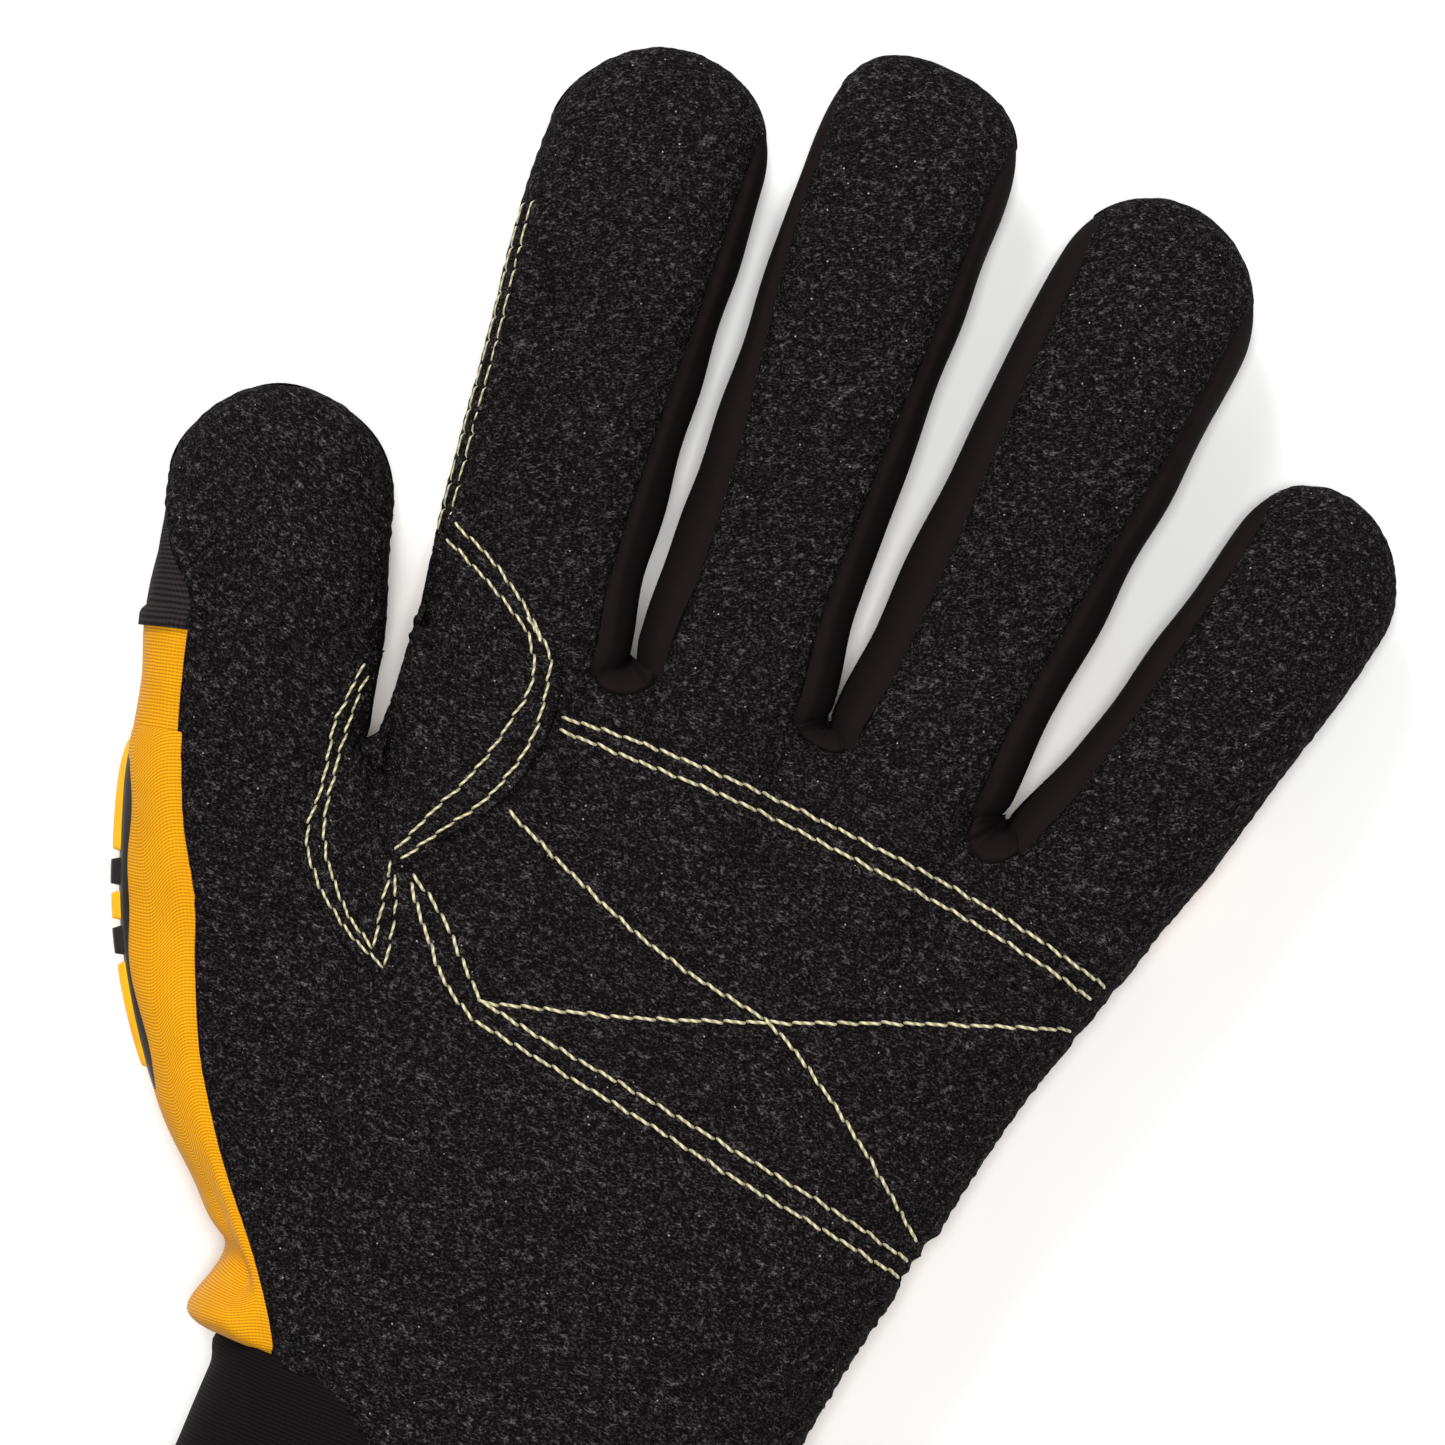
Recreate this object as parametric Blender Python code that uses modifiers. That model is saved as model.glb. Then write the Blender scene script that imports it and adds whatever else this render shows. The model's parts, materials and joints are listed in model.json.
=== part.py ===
"""A left-hand work glove: cut fabric panels, a lining, moulded guards and a cuff.

The glove lies on its back with the palm up.  +Y runs from the cuff to the fingertips,
the thumb is on the -X side, and the origin is on the table under the middle knuckle.
Each finger folds at its root and once along its length, towards the palm.
"""

import math

import bmesh
import bpy
import numpy as np

MM = 0.001

# Cloth, lining and clearances
FABRIC = 1.3 * MM  # palm fabric, back knit and finger side strips
LINING = 1.0 * MM
PAD = 1.6 * MM  # foam that is quilted behind the palm fabric
LAYER_GAP = 0.4 * MM  # between two layers that lie on each other
LINING_GAP = 1.0 * MM  # between a finger's panels and its lining
SEAM_GAP = 0.8 * MM  # between two panels that are sewn edge to edge
FOLD_GAP = 0.5 * MM  # between two pieces that meet at a finger fold
WEB_GAP = 1.4 * MM  # between the side strips of two neighbouring fingers at their roots

# The hand, from the wrist seam to the finger roots
WRIST_HALF_WIDTH = 35.5 * MM
WRIST_DEPTH = 43.0 * MM
WRIST_X = 2.3 * MM
WRIST_Y = -82.0 * MM
KNUCKLE_Y = 14.5 * MM  # root of the middle finger
KNUCKLE_DEPTH = 23.4 * MM
BACK_CLEARANCE = 4.0 * MM  # from the table to the back of the hand at the knuckles
THENAR_BULGE = 7.0 * MM  # how far the thumb side swells past a straight edge
EDGE_HOLLOW = 2.5 * MM  # how far the little finger's side falls back from a straight edge
HAND_SQUARENESS = 2.8  # exponent of the hand's rounded section
PALM_WRAP = 0.03  # share of the width by which the palm fabric wraps under the little finger side
PALM_SEAM_WRIST = 0.13  # share of the width from the thumb side to the palm seam, at the wrist
PALM_SEAM_THUMB = 0.035  # the same at the thumb's root

# The fingers
FINGER_SQUARENESS = 2.6
STRIP_EDGE = 40.0  # section angle of the seam between finger front and side strip, degrees
WRAP_EDGE = -25.0  # section angle where a front that wraps round the side meets the back
THUMB_SEAM = 54.0  # section angle of the seam between thumb front and back
TIP_DEPTH_SHARE = 0.88  # depth near the fingertip over depth at the root
STRIP_END = 0.80  # share of the finger's straight length where a side strip ends in a point
TIP_ROOM = 1.2 * MM  # extra room between a fingertip and its lining
AXIS_RISE = 0.6 * MM  # fold axis above the finger's front

# Finger by finger: lean in degrees, length, fold from the root, half widths, depth
THUMB_LEAN = -14.0
THUMB_LENGTH = 45.0 * MM
THUMB_FOLD = 17.0 * MM
THUMB_ROOT = 13.6 * MM
THUMB_WAIST = 14.7 * MM
THUMB_BULB = 14.2 * MM
THUMB_DEPTH = 23.4 * MM
INDEX_LEAN = -4.2
INDEX_LENGTH = 78.5 * MM
INDEX_FOLD = 33.0 * MM
INDEX_ROOT = 12.9 * MM
INDEX_WAIST = 13.4 * MM
INDEX_BULB = 14.0 * MM
INDEX_DEPTH = 23.4 * MM
MIDDLE_LEAN = -0.5
MIDDLE_LENGTH = 84.5 * MM
MIDDLE_FOLD = 37.0 * MM
MIDDLE_ROOT = 12.2 * MM
MIDDLE_WAIST = 12.3 * MM
MIDDLE_BULB = 12.7 * MM
RING_LEAN = 7.2
RING_LENGTH = 81.0 * MM
RING_FOLD = 34.0 * MM
RING_ROOT = 11.8 * MM
RING_WAIST = 12.7 * MM
RING_BULB = 13.1 * MM
RING_DEPTH = 22.8 * MM
LITTLE_LEAN = 16.8
LITTLE_LENGTH = 61.5 * MM
LITTLE_FOLD = 26.0 * MM
LITTLE_ROOT = 11.6 * MM
LITTLE_WAIST = 11.3 * MM
LITTLE_BULB = 11.5 * MM
LITTLE_DEPTH = 21.6 * MM
INDEX_STEP = 2.5 * MM  # how far a root lies behind that of the finger beside it
RING_STEP = 0.6 * MM
LITTLE_STEP = 1.2 * MM
THUMB_ASIDE = 27.4 * MM  # from the index root to the thumb root, sideways
THUMB_BEHIND = 21.5 * MM  # and towards the wrist
THUMB_WEB_GAP = 2.6 * MM  # room for the saddle patch between the thumb and its web

# Moulded guards on the back
GUARD_BASE = 1.4 * MM
GUARD_BAR = 1.7 * MM
GUARD_HALF_LENGTH = 36.0 * MM
GUARD_HALF_WIDTH = 11.0 * MM
BAR_COUNT = 3
BAR_WIDTH = 12.0 * MM
BAR_GAP = 5.0 * MM  # between two bars, and from an end bar to the guard's end
THUMB_GUARD_FROM = 0.36  # share of the way from wrist seam to thumb root
THUMB_GUARD_TO = 0.94
THUMB_GUARD_BASE = 1.2 * MM
THUMB_GUARD_BAR = 1.8 * MM
THUMB_BARS = {  # share of the guard's length where each yellow bar starts and ends
    "lower": (0.08, 0.38),
    "middle": (0.47, 0.56),
    "upper": (0.65, 0.98),
}

# The cuff
CUFF_LENGTH = 64.0 * MM
CUFF_MOUTH_HALF_WIDTH = 40.0 * MM
CUFF_MOUTH_DEPTH = 47.0 * MM
CUFF_CLOTH = 2.0 * MM
BINDING_WIDTH = 8.0 * MM
BINDING_CLOTH = 1.0 * MM

YELLOW = (0.86, 0.42, 0.01)
PALM_BLACK = (0.018, 0.016, 0.017)
STRIP_BLACK = (0.012, 0.010, 0.010)
RUBBER_BLACK = (0.030, 0.026, 0.026)
LINING_GREY = (0.10, 0.10, 0.11)


class Digit:
    """A finger: where it points, how long it is, its half widths and where its seams run.

    lean is clockwise from +Y, seen from above.  fold is the fold's distance from the root.
    root, waist and bulb are half widths at the root, half way and near the tip.
    left and right are the section angles of the front's and the back's seam on that side.
    """

    def __init__(self, name, lean, length, fold, root, waist, bulb, depth, left, right):
        self.name = name
        self.lean = math.radians(lean)
        self.length, self.fold = length, fold
        self.root, self.waist, self.bulb = root, waist, bulb
        self.depth = depth / 2
        self.left, self.right = left, right
        self.straight = length - bulb  # up to where the round tip starts
        self.centre = np.zeros(2)

    @property
    def across(self):
        """Unit vector to the finger's right in plan."""
        return np.array([math.cos(self.lean), -math.sin(self.lean)])

    def edge(self, side):
        """Plan point at the root, side -1 at the left edge and +1 at the right edge."""
        return self.centre + side * self.root * self.across


STRIP = (STRIP_EDGE, -STRIP_EDGE)
WRAP = (WRAP_EDGE, WRAP_EDGE)
THUMB_SIDE = (THUMB_SEAM, THUMB_SEAM)

THUMB = Digit(
    "thumb", THUMB_LEAN, THUMB_LENGTH, THUMB_FOLD,
    THUMB_ROOT, THUMB_WAIST, THUMB_BULB, THUMB_DEPTH, THUMB_SIDE, WRAP,
)
INDEX = Digit(
    "index", INDEX_LEAN, INDEX_LENGTH, INDEX_FOLD,
    INDEX_ROOT, INDEX_WAIST, INDEX_BULB, INDEX_DEPTH, WRAP, STRIP,
)
MIDDLE = Digit(
    "middle", MIDDLE_LEAN, MIDDLE_LENGTH, MIDDLE_FOLD,
    MIDDLE_ROOT, MIDDLE_WAIST, MIDDLE_BULB, KNUCKLE_DEPTH, STRIP, STRIP,
)
RING = Digit(
    "ring", RING_LEAN, RING_LENGTH, RING_FOLD,
    RING_ROOT, RING_WAIST, RING_BULB, RING_DEPTH, STRIP, STRIP,
)
LITTLE = Digit(
    "little", LITTLE_LEAN, LITTLE_LENGTH, LITTLE_FOLD,
    LITTLE_ROOT, LITTLE_WAIST, LITTLE_BULB, LITTLE_DEPTH, STRIP, WRAP,
)
FINGERS = (INDEX, MIDDLE, RING, LITTLE)
DIGITS = (THUMB, *FINGERS)


def place_roots():
    """Sets the finger roots side by side, a web gap apart, out from the middle finger."""
    MIDDLE.centre = np.array([0.0, KNUCKLE_Y])
    for finger, beside, side, step in (
        (INDEX, MIDDLE, -1, INDEX_STEP),
        (RING, MIDDLE, 1, RING_STEP),
        (LITTLE, RING, 1, LITTLE_STEP),
    ):
        edge = beside.edge(side) + np.array([side * WEB_GAP, -step])
        finger.centre = edge + side * finger.root * finger.across
    THUMB.centre = INDEX.centre - np.array([THUMB_ASIDE, THUMB_BEHIND])


def smooth(x, low=0.0, high=1.0):
    """Eases from 0 at low to 1 at high."""
    share = np.clip((x - low) / (high - low), 0.0, 1.0)
    return share * share * (3.0 - 2.0 * share)


def dome(across, squareness):
    """Height of a rounded section of half width and half height 1."""
    return (1.0 - np.minimum(np.abs(across), 1.0) ** squareness) ** (1.0 / squareness)


# The form of a finger

FRONT_MID = BACK_CLEARANCE + KNUCKLE_DEPTH / 2  # height of the fingers' middle plane
AXIS_Z = FRONT_MID + KNUCKLE_DEPTH / 2 + SEAM_GAP / 2 + AXIS_RISE


def half_width(digit, share):
    """Half width of a finger at a share of its straight length."""
    lower = digit.root + (digit.waist - digit.root) * smooth(share, 0.0, 0.5)
    return lower + (digit.bulb - digit.waist) * smooth(share, 0.5, 0.85)


def digit_point(digit, angle, share):
    """Point of a finger's surface from its fold axis at the root: X right, Y along, Z up.

    angle goes round the section, 0 at the right side and 90 degrees at the front.
    At share 1 the section has closed onto the round outline of the tip.
    """
    cosine, sine = math.cos(angle), math.sin(angle)
    across = math.copysign(abs(cosine) ** (2.0 / FINGER_SQUARENESS), cosine)
    rise = math.copysign(abs(sine) ** (2.0 / FINGER_SQUARENESS), sine)
    depth = digit.depth * (1.0 + (TIP_DEPTH_SHARE - 1.0) * share)
    tip = math.sqrt(max(0.0, 1.0 - share**10))
    along = share * digit.straight + digit.bulb * math.sqrt(max(0.0, 1.0 - across**2)) * share**8
    return (half_width(digit, share) * across, along, FRONT_MID - AXIS_Z + depth * rise * tip)


def seam_angle(edge, share):
    """A seam's angle, which runs out to the section's side towards the fingertip."""
    return math.radians(edge) * (1.0 - smooth(share, 0.5, 0.95))


# The form of the hand

def root_knots():
    """Shares of the width and plan points of the finger roots' edges, thumb side first."""
    points = [digit.edge(side) for digit in DIGITS for side in (-1, 1)]
    points.insert(2, points[1] + np.array([THUMB_WEB_GAP, 0.0]))
    steps = [np.linalg.norm(b - a) for a, b in zip(points, points[1:])]
    shares = np.concatenate([[0.0], np.cumsum(steps)]) / sum(steps)
    return shares, np.array(points)


def root_range(digit):
    """Shares of the hand's width between which a finger's root lies."""
    first = 2 * DIGITS.index(digit) + (digit is not THUMB)
    return KNOTS[first], KNOTS[first + 1]


def root_profile(share):
    """Height of the finger roots over the knuckle half depth, across the hand's width."""
    web = dome(math.cos(math.radians(STRIP_EDGE)) ** (2.0 / FINGER_SQUARENESS), FINGER_SQUARENESS)
    height = web
    for digit in DIGITS:
        low, high = root_range(digit)
        if low <= share <= high:
            across = 2.0 * (share - low) / (high - low) - 1.0
            height = max(web, dome(across, FINGER_SQUARENESS))
            outer = (digit is THUMB and across < 0) or (digit is LITTLE and across > 0)
            if outer:
                height = dome(across, FINGER_SQUARENESS)
    return height


def hand_point(lap, along):
    """Point of the hand's surface.

    lap 0 is the little finger's side, 0 to 1 goes over the palm to the thumb's side, and
    1 to 2 goes back under the hand.  along is 0 at the wrist seam and 1 at the roots.
    """
    lap = lap % 2.0
    share = 1.0 - lap if lap <= 1.0 else lap - 1.0
    side = 1.0 if lap <= 1.0 else -1.0
    wrist = np.array([WRIST_X + (2.0 * share - 1.0) * WRIST_HALF_WIDTH, WRIST_Y])
    root = np.array([np.interp(share, KNOTS, KNOT_POINTS[:, k]) for k in (0, 1)])
    plan = wrist + (root - wrist) * along
    plan[0] -= THENAR_BULGE * math.sin(math.pi * along**1.6) * (1.0 - share) ** 3
    plan[0] -= EDGE_HOLLOW * math.sin(math.pi * along) * share**3
    floor = BACK_CLEARANCE * smooth(along, 0.0, 0.6)
    knuckle_top = BACK_CLEARANCE + KNUCKLE_DEPTH
    ceiling = WRIST_DEPTH + (knuckle_top - WRIST_DEPTH) * smooth(along, -0.2, 1.0)
    round_hand = dome(2.0 * share - 1.0, HAND_SQUARENESS)
    at_roots = smooth(along, 0.55, 1.0)
    height = round_hand + (root_profile(share) - round_hand) * at_roots
    middle, half = (ceiling + floor) / 2, (ceiling - floor) / 2
    return (plan[0], plan[1], middle + side * half * height)


ROUND_SIDE = [0.004, 0.015]  # shares of the width where the round sides get extra columns


def width_shares(wide=4):
    """Columns across the hand: the finger roots' edges, points between, and round sides."""
    shares = []
    for low, high in zip(KNOTS, KNOTS[1:]):
        pieces = wide if high - low > 0.08 else 1
        shares += [low + (high - low) * k / pieces for k in range(pieces)]
    return sorted(shares + ROUND_SIDE + [1.0 - s for s in ROUND_SIDE] + [1.0])


def palm_seam(along):
    """Share of the width where the palm fabric's seam runs on the thumb side."""
    return PALM_SEAM_WRIST + (PALM_SEAM_THUMB - PALM_SEAM_WRIST) * along


# Blender helpers

def material(name, colour, roughness):
    made = bpy.data.materials.new(name)
    made.use_nodes = True
    shader = made.node_tree.nodes["Principled BSDF"]
    shader.inputs["Base Color"].default_value = (*colour, 1.0)
    shader.inputs["Roughness"].default_value = roughness
    shader.inputs["Metallic"].default_value = 0.0
    made.diffuse_color = (*colour, 1.0)
    return made


def finish(name, mesh, finish_material, parent):
    """Puts a mesh into the glove's collection under its parent empty."""
    mesh.shade_smooth()
    mesh.set_sharp_from_angle(angle=math.radians(35))
    mesh.materials.append(finish_material)
    made = bpy.data.objects.new(name, mesh)
    GLOVE.objects.link(made)
    made.parent = parent
    return made


def solidify(piece, thickness, outwards=False):
    modifier = piece.modifiers.new("cloth", "SOLIDIFY")
    modifier.thickness = thickness
    modifier.offset = 1.0 if outwards else -1.0
    modifier.use_even_offset = True
    return piece


def sheet(name, point, columns, rows, cloth, parent, thickness, sink=0.0, outwards=False):
    """A grid bent over a form: point(column, row) places each of its corners.

    Columns run to the left of the rows' direction, so that the faces point outwards.
    sink moves the sheet in from the form, or out of it where negative, before it gets
    its thickness.  Corners that fall on each other are welded, which closes a ring.
    """
    columns, rows = list(columns), list(rows)
    grid = bmesh.new()
    bmesh.ops.create_grid(grid, x_segments=len(columns) - 1, y_segments=len(rows) - 1, size=0.5)
    for corner in grid.verts:
        column = columns[round((corner.co.x + 0.5) * (len(columns) - 1))]
        row = rows[round((corner.co.y + 0.5) * (len(rows) - 1))]
        corner.co = point(column, row)
    bmesh.ops.remove_doubles(grid, verts=grid.verts, dist=0.01 * MM)
    bmesh.ops.reverse_faces(grid, faces=grid.faces)
    mesh = bpy.data.meshes.new(name)
    grid.to_mesh(mesh)
    grid.free()
    piece = finish(name, mesh, cloth, parent)
    if sink:
        shift = piece.modifiers.new("layer", "DISPLACE")
        shift.strength = -sink
        shift.mid_level = 0.0
    return solidify(piece, thickness, outwards)


def plate(name, outline, low, high, look, parent):
    """A flat plate with a rounded outline between two heights."""
    curve = bpy.data.curves.new(name, "CURVE")
    curve.dimensions = "2D"
    curve.fill_mode = "BOTH"
    curve.extrude = (high - low) / 2
    spline = curve.splines.new("POLY")
    spline.points.add(len(outline) - 1)
    for corner, (x, y) in zip(spline.points, outline):
        corner.co = (x, y, 0.0, 1.0)
    spline.use_cyclic_u = True
    curve.materials.append(look)
    made = bpy.data.objects.new(name, curve)
    GLOVE.objects.link(made)
    made.parent = parent
    made.location.z = (high + low) / 2
    weld = made.modifiers.new("weld", "WELD")
    weld.merge_threshold = 0.01 * MM
    return made


def rounded_outline(centre, half_length, half_width, squareness=4.0, corners=28):
    """Points of a rounded rectangle, a superellipse, round a centre."""
    turns = [2.0 * math.pi * k / corners for k in range(corners)]
    power = 2.0 / squareness
    return [
        (
            centre[0] + half_length * math.copysign(abs(math.cos(t)) ** power, math.cos(t)),
            centre[1] + half_width * math.copysign(abs(math.sin(t)) ** power, math.sin(t)),
        )
        for t in turns
    ]


def axis_empty(name, parent, location, turn=0.0):
    empty = bpy.data.objects.new(name, None)
    empty.empty_display_size = 10 * MM
    GLOVE.objects.link(empty)
    empty.parent = parent
    empty.location = location
    empty.rotation_euler.z = turn
    return empty


def spread(low, high, pieces):
    return [low + (high - low) * k / pieces for k in range(pieces + 1)]


# Fingers

PANEL_STEP = math.radians(17.0)  # section angle that one column of a finger panel covers


def digit_sheet(digit, part, edges, rows, cloth, parent, shift):
    """A panel of one finger segment between two seams.

    edges are the section angles of its right and left seam, as functions of the share.
    shift moves its points into the segment's own frame.
    """
    right, left = edges

    def point(column, share):
        angle = right(share) + (left(share) - right(share)) * column
        x, y, z = digit_point(digit, angle, share)
        return (x, y - shift[0], z + shift[1])

    columns = 2 * round((left(0.0) - right(0.0)) / (2.0 * PANEL_STEP))
    name = f"{digit.name}_{part}"
    return sheet(name, point, spread(0.0, 1.0, columns), rows, cloth, parent, FABRIC)


def add_segment(digit, segment, rows, parent, fold_shift):
    """Front, back, side strips and lining of a finger's lower or upper segment."""
    gap = SEAM_GAP / (2.0 * digit.depth)
    turn, half_turn = 2.0 * math.pi, math.pi
    front_right, back_right = digit.right
    front_left, back_left = digit.left
    tip = segment == "upper"
    back_cloth = CLOTHS["tip"] if tip else CLOTHS["knit"]

    def seam(edge, clear, start=0.0, sign=1.0):
        return lambda share: start + sign * (seam_angle(edge, share) + clear)

    front = (seam(front_right, gap), seam(front_left, gap, half_turn, -1.0))
    back = (seam(back_left, -gap, half_turn, -1.0), seam(back_right, -gap, turn))
    lift = SEAM_GAP / 2
    digit_sheet(digit, f"front_{segment}", front, rows, CLOTHS["palm"], parent, (fold_shift, lift))
    digit_sheet(digit, f"back_{segment}", back, rows, back_cloth, parent, (fold_shift, -lift))
    strip_rows = [row for row in rows if row < STRIP_END] + ([STRIP_END] if tip else [])
    for side, (front_edge, back_edge), start, sign in (
        ("right", digit.right, 0.0, 1.0),
        ("left", digit.left, half_turn, -1.0),
    ):
        if front_edge == back_edge:
            continue
        ends = (seam(back_edge, gap, start, sign), seam(front_edge, -gap, start, sign))
        ends = ends if sign > 0 else ends[::-1]
        part = f"{side}_strip_{segment}"
        digit_sheet(digit, part, ends, strip_rows, CLOTHS["strip"], parent, (fold_shift, 0.0))

    def lining_point(angle, share):
        x, y, z = digit_point(digit, angle, share)
        return (x, y - fold_shift - TIP_ROOM * share**8, z)

    ring = spread(0.0, turn, 12)
    name = f"{digit.name}_lining_{segment}"
    lining_rows = rows[:1] + rows[2:5] + rows[-1:] if tip else rows[::3]
    sheet(name, lining_point, ring, lining_rows, CLOTHS["lining"], parent, LINING, FABRIC + LINING_GAP)


def add_digit(digit, glove):
    """A finger on its two fold axes."""
    knuckle = axis_empty(f"{digit.name}_knuckle_axis", glove, (*digit.centre, AXIS_Z), -digit.lean)
    middle = axis_empty(f"{digit.name}_fold_axis", knuckle, (0.0, digit.fold, 0.0))
    start, fold = FOLD_GAP / digit.straight, digit.fold / digit.straight
    half_gap = FOLD_GAP / (2.0 * digit.straight)
    lower = spread(start, fold - half_gap, 3)
    eased = [math.sin(q * math.pi / 2) for q in spread(0.0, 1.0, 5)]
    eased.insert(-1, 0.997)
    upper = [fold + half_gap + (1.0 - fold - half_gap) * q for q in eased]
    add_segment(digit, "lower", lower, knuckle, 0.0)
    add_segment(digit, "upper", upper, middle, digit.fold)


# The hand

HAND_ROWS = 9


def add_palm_and_back(glove):
    """The palm fabric, which wraps under the little finger's side, and the knit back."""
    shares = width_shares()
    rows = spread(0.0, 1.0, HAND_ROWS)
    gap = SEAM_GAP / (2.0 * (WRIST_HALF_WIDTH * 2.0))

    def palm_point(column, along):
        if column == "seam":
            return hand_point(1.0 - palm_seam(along) - gap, along)
        return hand_point(column, along)

    def back_point(column, along):
        if column < 0.0:
            seam = palm_seam(along) - gap
            return hand_point(1.0 - seam + (seam - ROUND_SIDE[-1]) * (1.0 + column), along)
        return hand_point(column, along)

    low = PALM_SEAM_WRIST + 0.02
    wrap = [-PALM_WRAP + gap] + [-s for s in ROUND_SIDE[::-1]]
    palm = wrap + [1.0 - s for s in reversed(shares) if s > low]
    sheet("palm_panel", palm_point, palm + ["seam"], rows, CLOTHS["palm"], glove, FABRIC)
    below = [1.0 + s for s in shares if s < 1.0 - PALM_WRAP - 0.01]
    side = [1.0 - s for s in ROUND_SIDE[::-1]]
    back = [-1.0, -0.7, -0.35] + side + below + [2.0 - PALM_WRAP - gap]
    sheet("back_panel", back_point, back, rows, CLOTHS["knit"], glove, FABRIC)


LINING_SINK = FABRIC + LAYER_GAP + PAD + 2 * LAYER_GAP
WEB_ROOM = 0.05  # share of the hand's length that the lining stops short of the webs


def add_hand_lining(glove):
    shares = width_shares(2)
    around = [1.0 - s for s in reversed(shares)] + [1.0 + s for s in shares[1:]]
    rows = spread(0.0, 1.0 - WEB_ROOM, 6)
    sheet("hand_lining", hand_point, around, rows, CLOTHS["lining"], glove, LINING, LINING_SINK)


PAD_FROM, PAD_TO = 0.38, 0.96  # shares of the hand's width that the pad covers


def add_palm_pad(glove):
    """The foam that the quilting rows hold behind the palm fabric."""
    laps = [1.0 - s for s in reversed(width_shares()) if PAD_FROM < s < PAD_TO]
    rows = spread(0.42, 0.80, 4)
    sheet("palm_pad", hand_point, laps, rows, CLOTHS["foam"], glove, PAD, FABRIC + LAYER_GAP)


SADDLE_FROM = 0.62  # share of the hand's length where the saddle patch starts on the palm
SADDLE_SPREAD = 0.6  # share of the thumb's and index finger's roots that it reaches across


def add_saddle_patch(glove):
    """The patch that folds over the web between thumb and index finger.

    It starts wide on the palm fabric, comes over the web's edge and closes the web's side.
    """
    web = KNOT_POINTS[3] - KNOT_POINTS[2]
    outwards = np.array([-web[1], web[0], 0.0]) / np.linalg.norm(web)
    proud = FABRIC + 3 * LAYER_GAP
    inset = 0.06 * (KNOTS[3] - KNOTS[2])

    def point(column, step):
        wide = SADDLE_SPREAD * smooth(1.0 - step, 0.0, 1.0 - SADDLE_FROM)
        thumb_side = KNOTS[2] + inset - wide * (KNOTS[2] - KNOTS[0])
        index_side = KNOTS[3] - inset + wide * (KNOTS[4] - KNOTS[3])
        lap = 1.0 - index_side + (index_side - thumb_side) * column
        top = np.array(hand_point(lap, min(step, 1.0)))
        if step <= 1.0:
            return top + np.array([0.0, 0.0, proud])
        bottom = np.array(hand_point(2.0 - lap, 1.0))
        drop = step - 1.0
        place = top + (bottom - top) * drop
        place[2] += proud * (1.0 - 2.0 * drop)
        return place + outwards * (FABRIC + 2 * LAYER_GAP)

    rows = spread(SADDLE_FROM, 1.0, 5) + [1.08, 1.3, 1.5, 1.7, 1.92]
    sheet("saddle_patch", point, spread(0.0, 1.0, 6), rows, CLOTHS["palm"], glove, FABRIC)


def add_webs(glove):
    """The bends of the side strips between two fingers, tucked between palm and back."""
    edge = dome(math.cos(math.radians(STRIP_EDGE)) ** (2 / FINGER_SQUARENESS), FINGER_SQUARENESS)
    for left, right in zip(FINGERS, FINGERS[1:]):
        lean = (left.lean + right.lean) / 2
        forwards = np.array([math.sin(lean), math.cos(lean)])
        out = np.array([math.cos(lean), -math.sin(lean)])
        start, end = left.edge(1), right.edge(-1)
        middle = (start + end) / 2
        radius = np.dot(end - start, out) / 2 + FABRIC
        rise = np.dot(end - start, forwards) / 2
        half = edge * min(left.depth, right.depth) - FABRIC - LAYER_GAP

        def point(turn, height):
            across = radius * math.cos(turn)
            along = rise * math.cos(turn) - radius * math.sin(turn) - FOLD_GAP
            return (*(middle + across * out + along * forwards), FRONT_MID + height)

        name = f"web_{left.name}_{right.name}"
        turns = spread(math.pi, 0.0, 6)
        sheet(name, point, turns, spread(-half, half, 1), CLOTHS["strip"], glove, FABRIC)


# Guards, cuff

def add_knuckle_guard(glove):
    """A moulded plate under the knuckles, with bars whose flat faces lie on the table."""
    top = BACK_CLEARANCE - LAYER_GAP
    base = top - GUARD_BASE
    outline = rounded_outline((0.0, 0.0), GUARD_HALF_LENGTH, GUARD_HALF_WIDTH)
    plate("knuckle_guard", outline, base, top, RUBBERS["black"], glove)
    low = base - LAYER_GAP - GUARD_BAR
    length = (2.0 * GUARD_HALF_LENGTH - (BAR_COUNT + 1) * BAR_GAP) / BAR_COUNT
    for number in range(BAR_COUNT):
        x = (number - (BAR_COUNT - 1) / 2) * (length + BAR_GAP)
        bar = rounded_outline((x, 0.0), length / 2, BAR_WIDTH / 2)
        plate(f"knuckle_bar_{number + 1}", bar, low, low + GUARD_BAR, RUBBERS["yellow"], glove)


def add_thumb_guard(glove):
    """A moulded guard along the thumb's side, with three bars on its base."""
    length = THUMB_GUARD_TO - THUMB_GUARD_FROM
    laps = [1.0 + s for s in width_shares()[:5]]
    rows = spread(THUMB_GUARD_FROM, THUMB_GUARD_TO, 8)
    lift = LAYER_GAP
    sheet("thumb_guard", hand_point, laps, rows, RUBBERS["black"], glove, THUMB_GUARD_BASE, -lift, True)
    lift += THUMB_GUARD_BASE + LAYER_GAP
    for part, (start, end) in THUMB_BARS.items():
        span = spread(THUMB_GUARD_FROM + length * start, THUMB_GUARD_FROM + length * end, 3)
        name = f"thumb_guard_bar_{part}"
        sheet(name, hand_point, laps[1:-1], span, RUBBERS["yellow"], glove, THUMB_GUARD_BAR, -lift, True)


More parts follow.
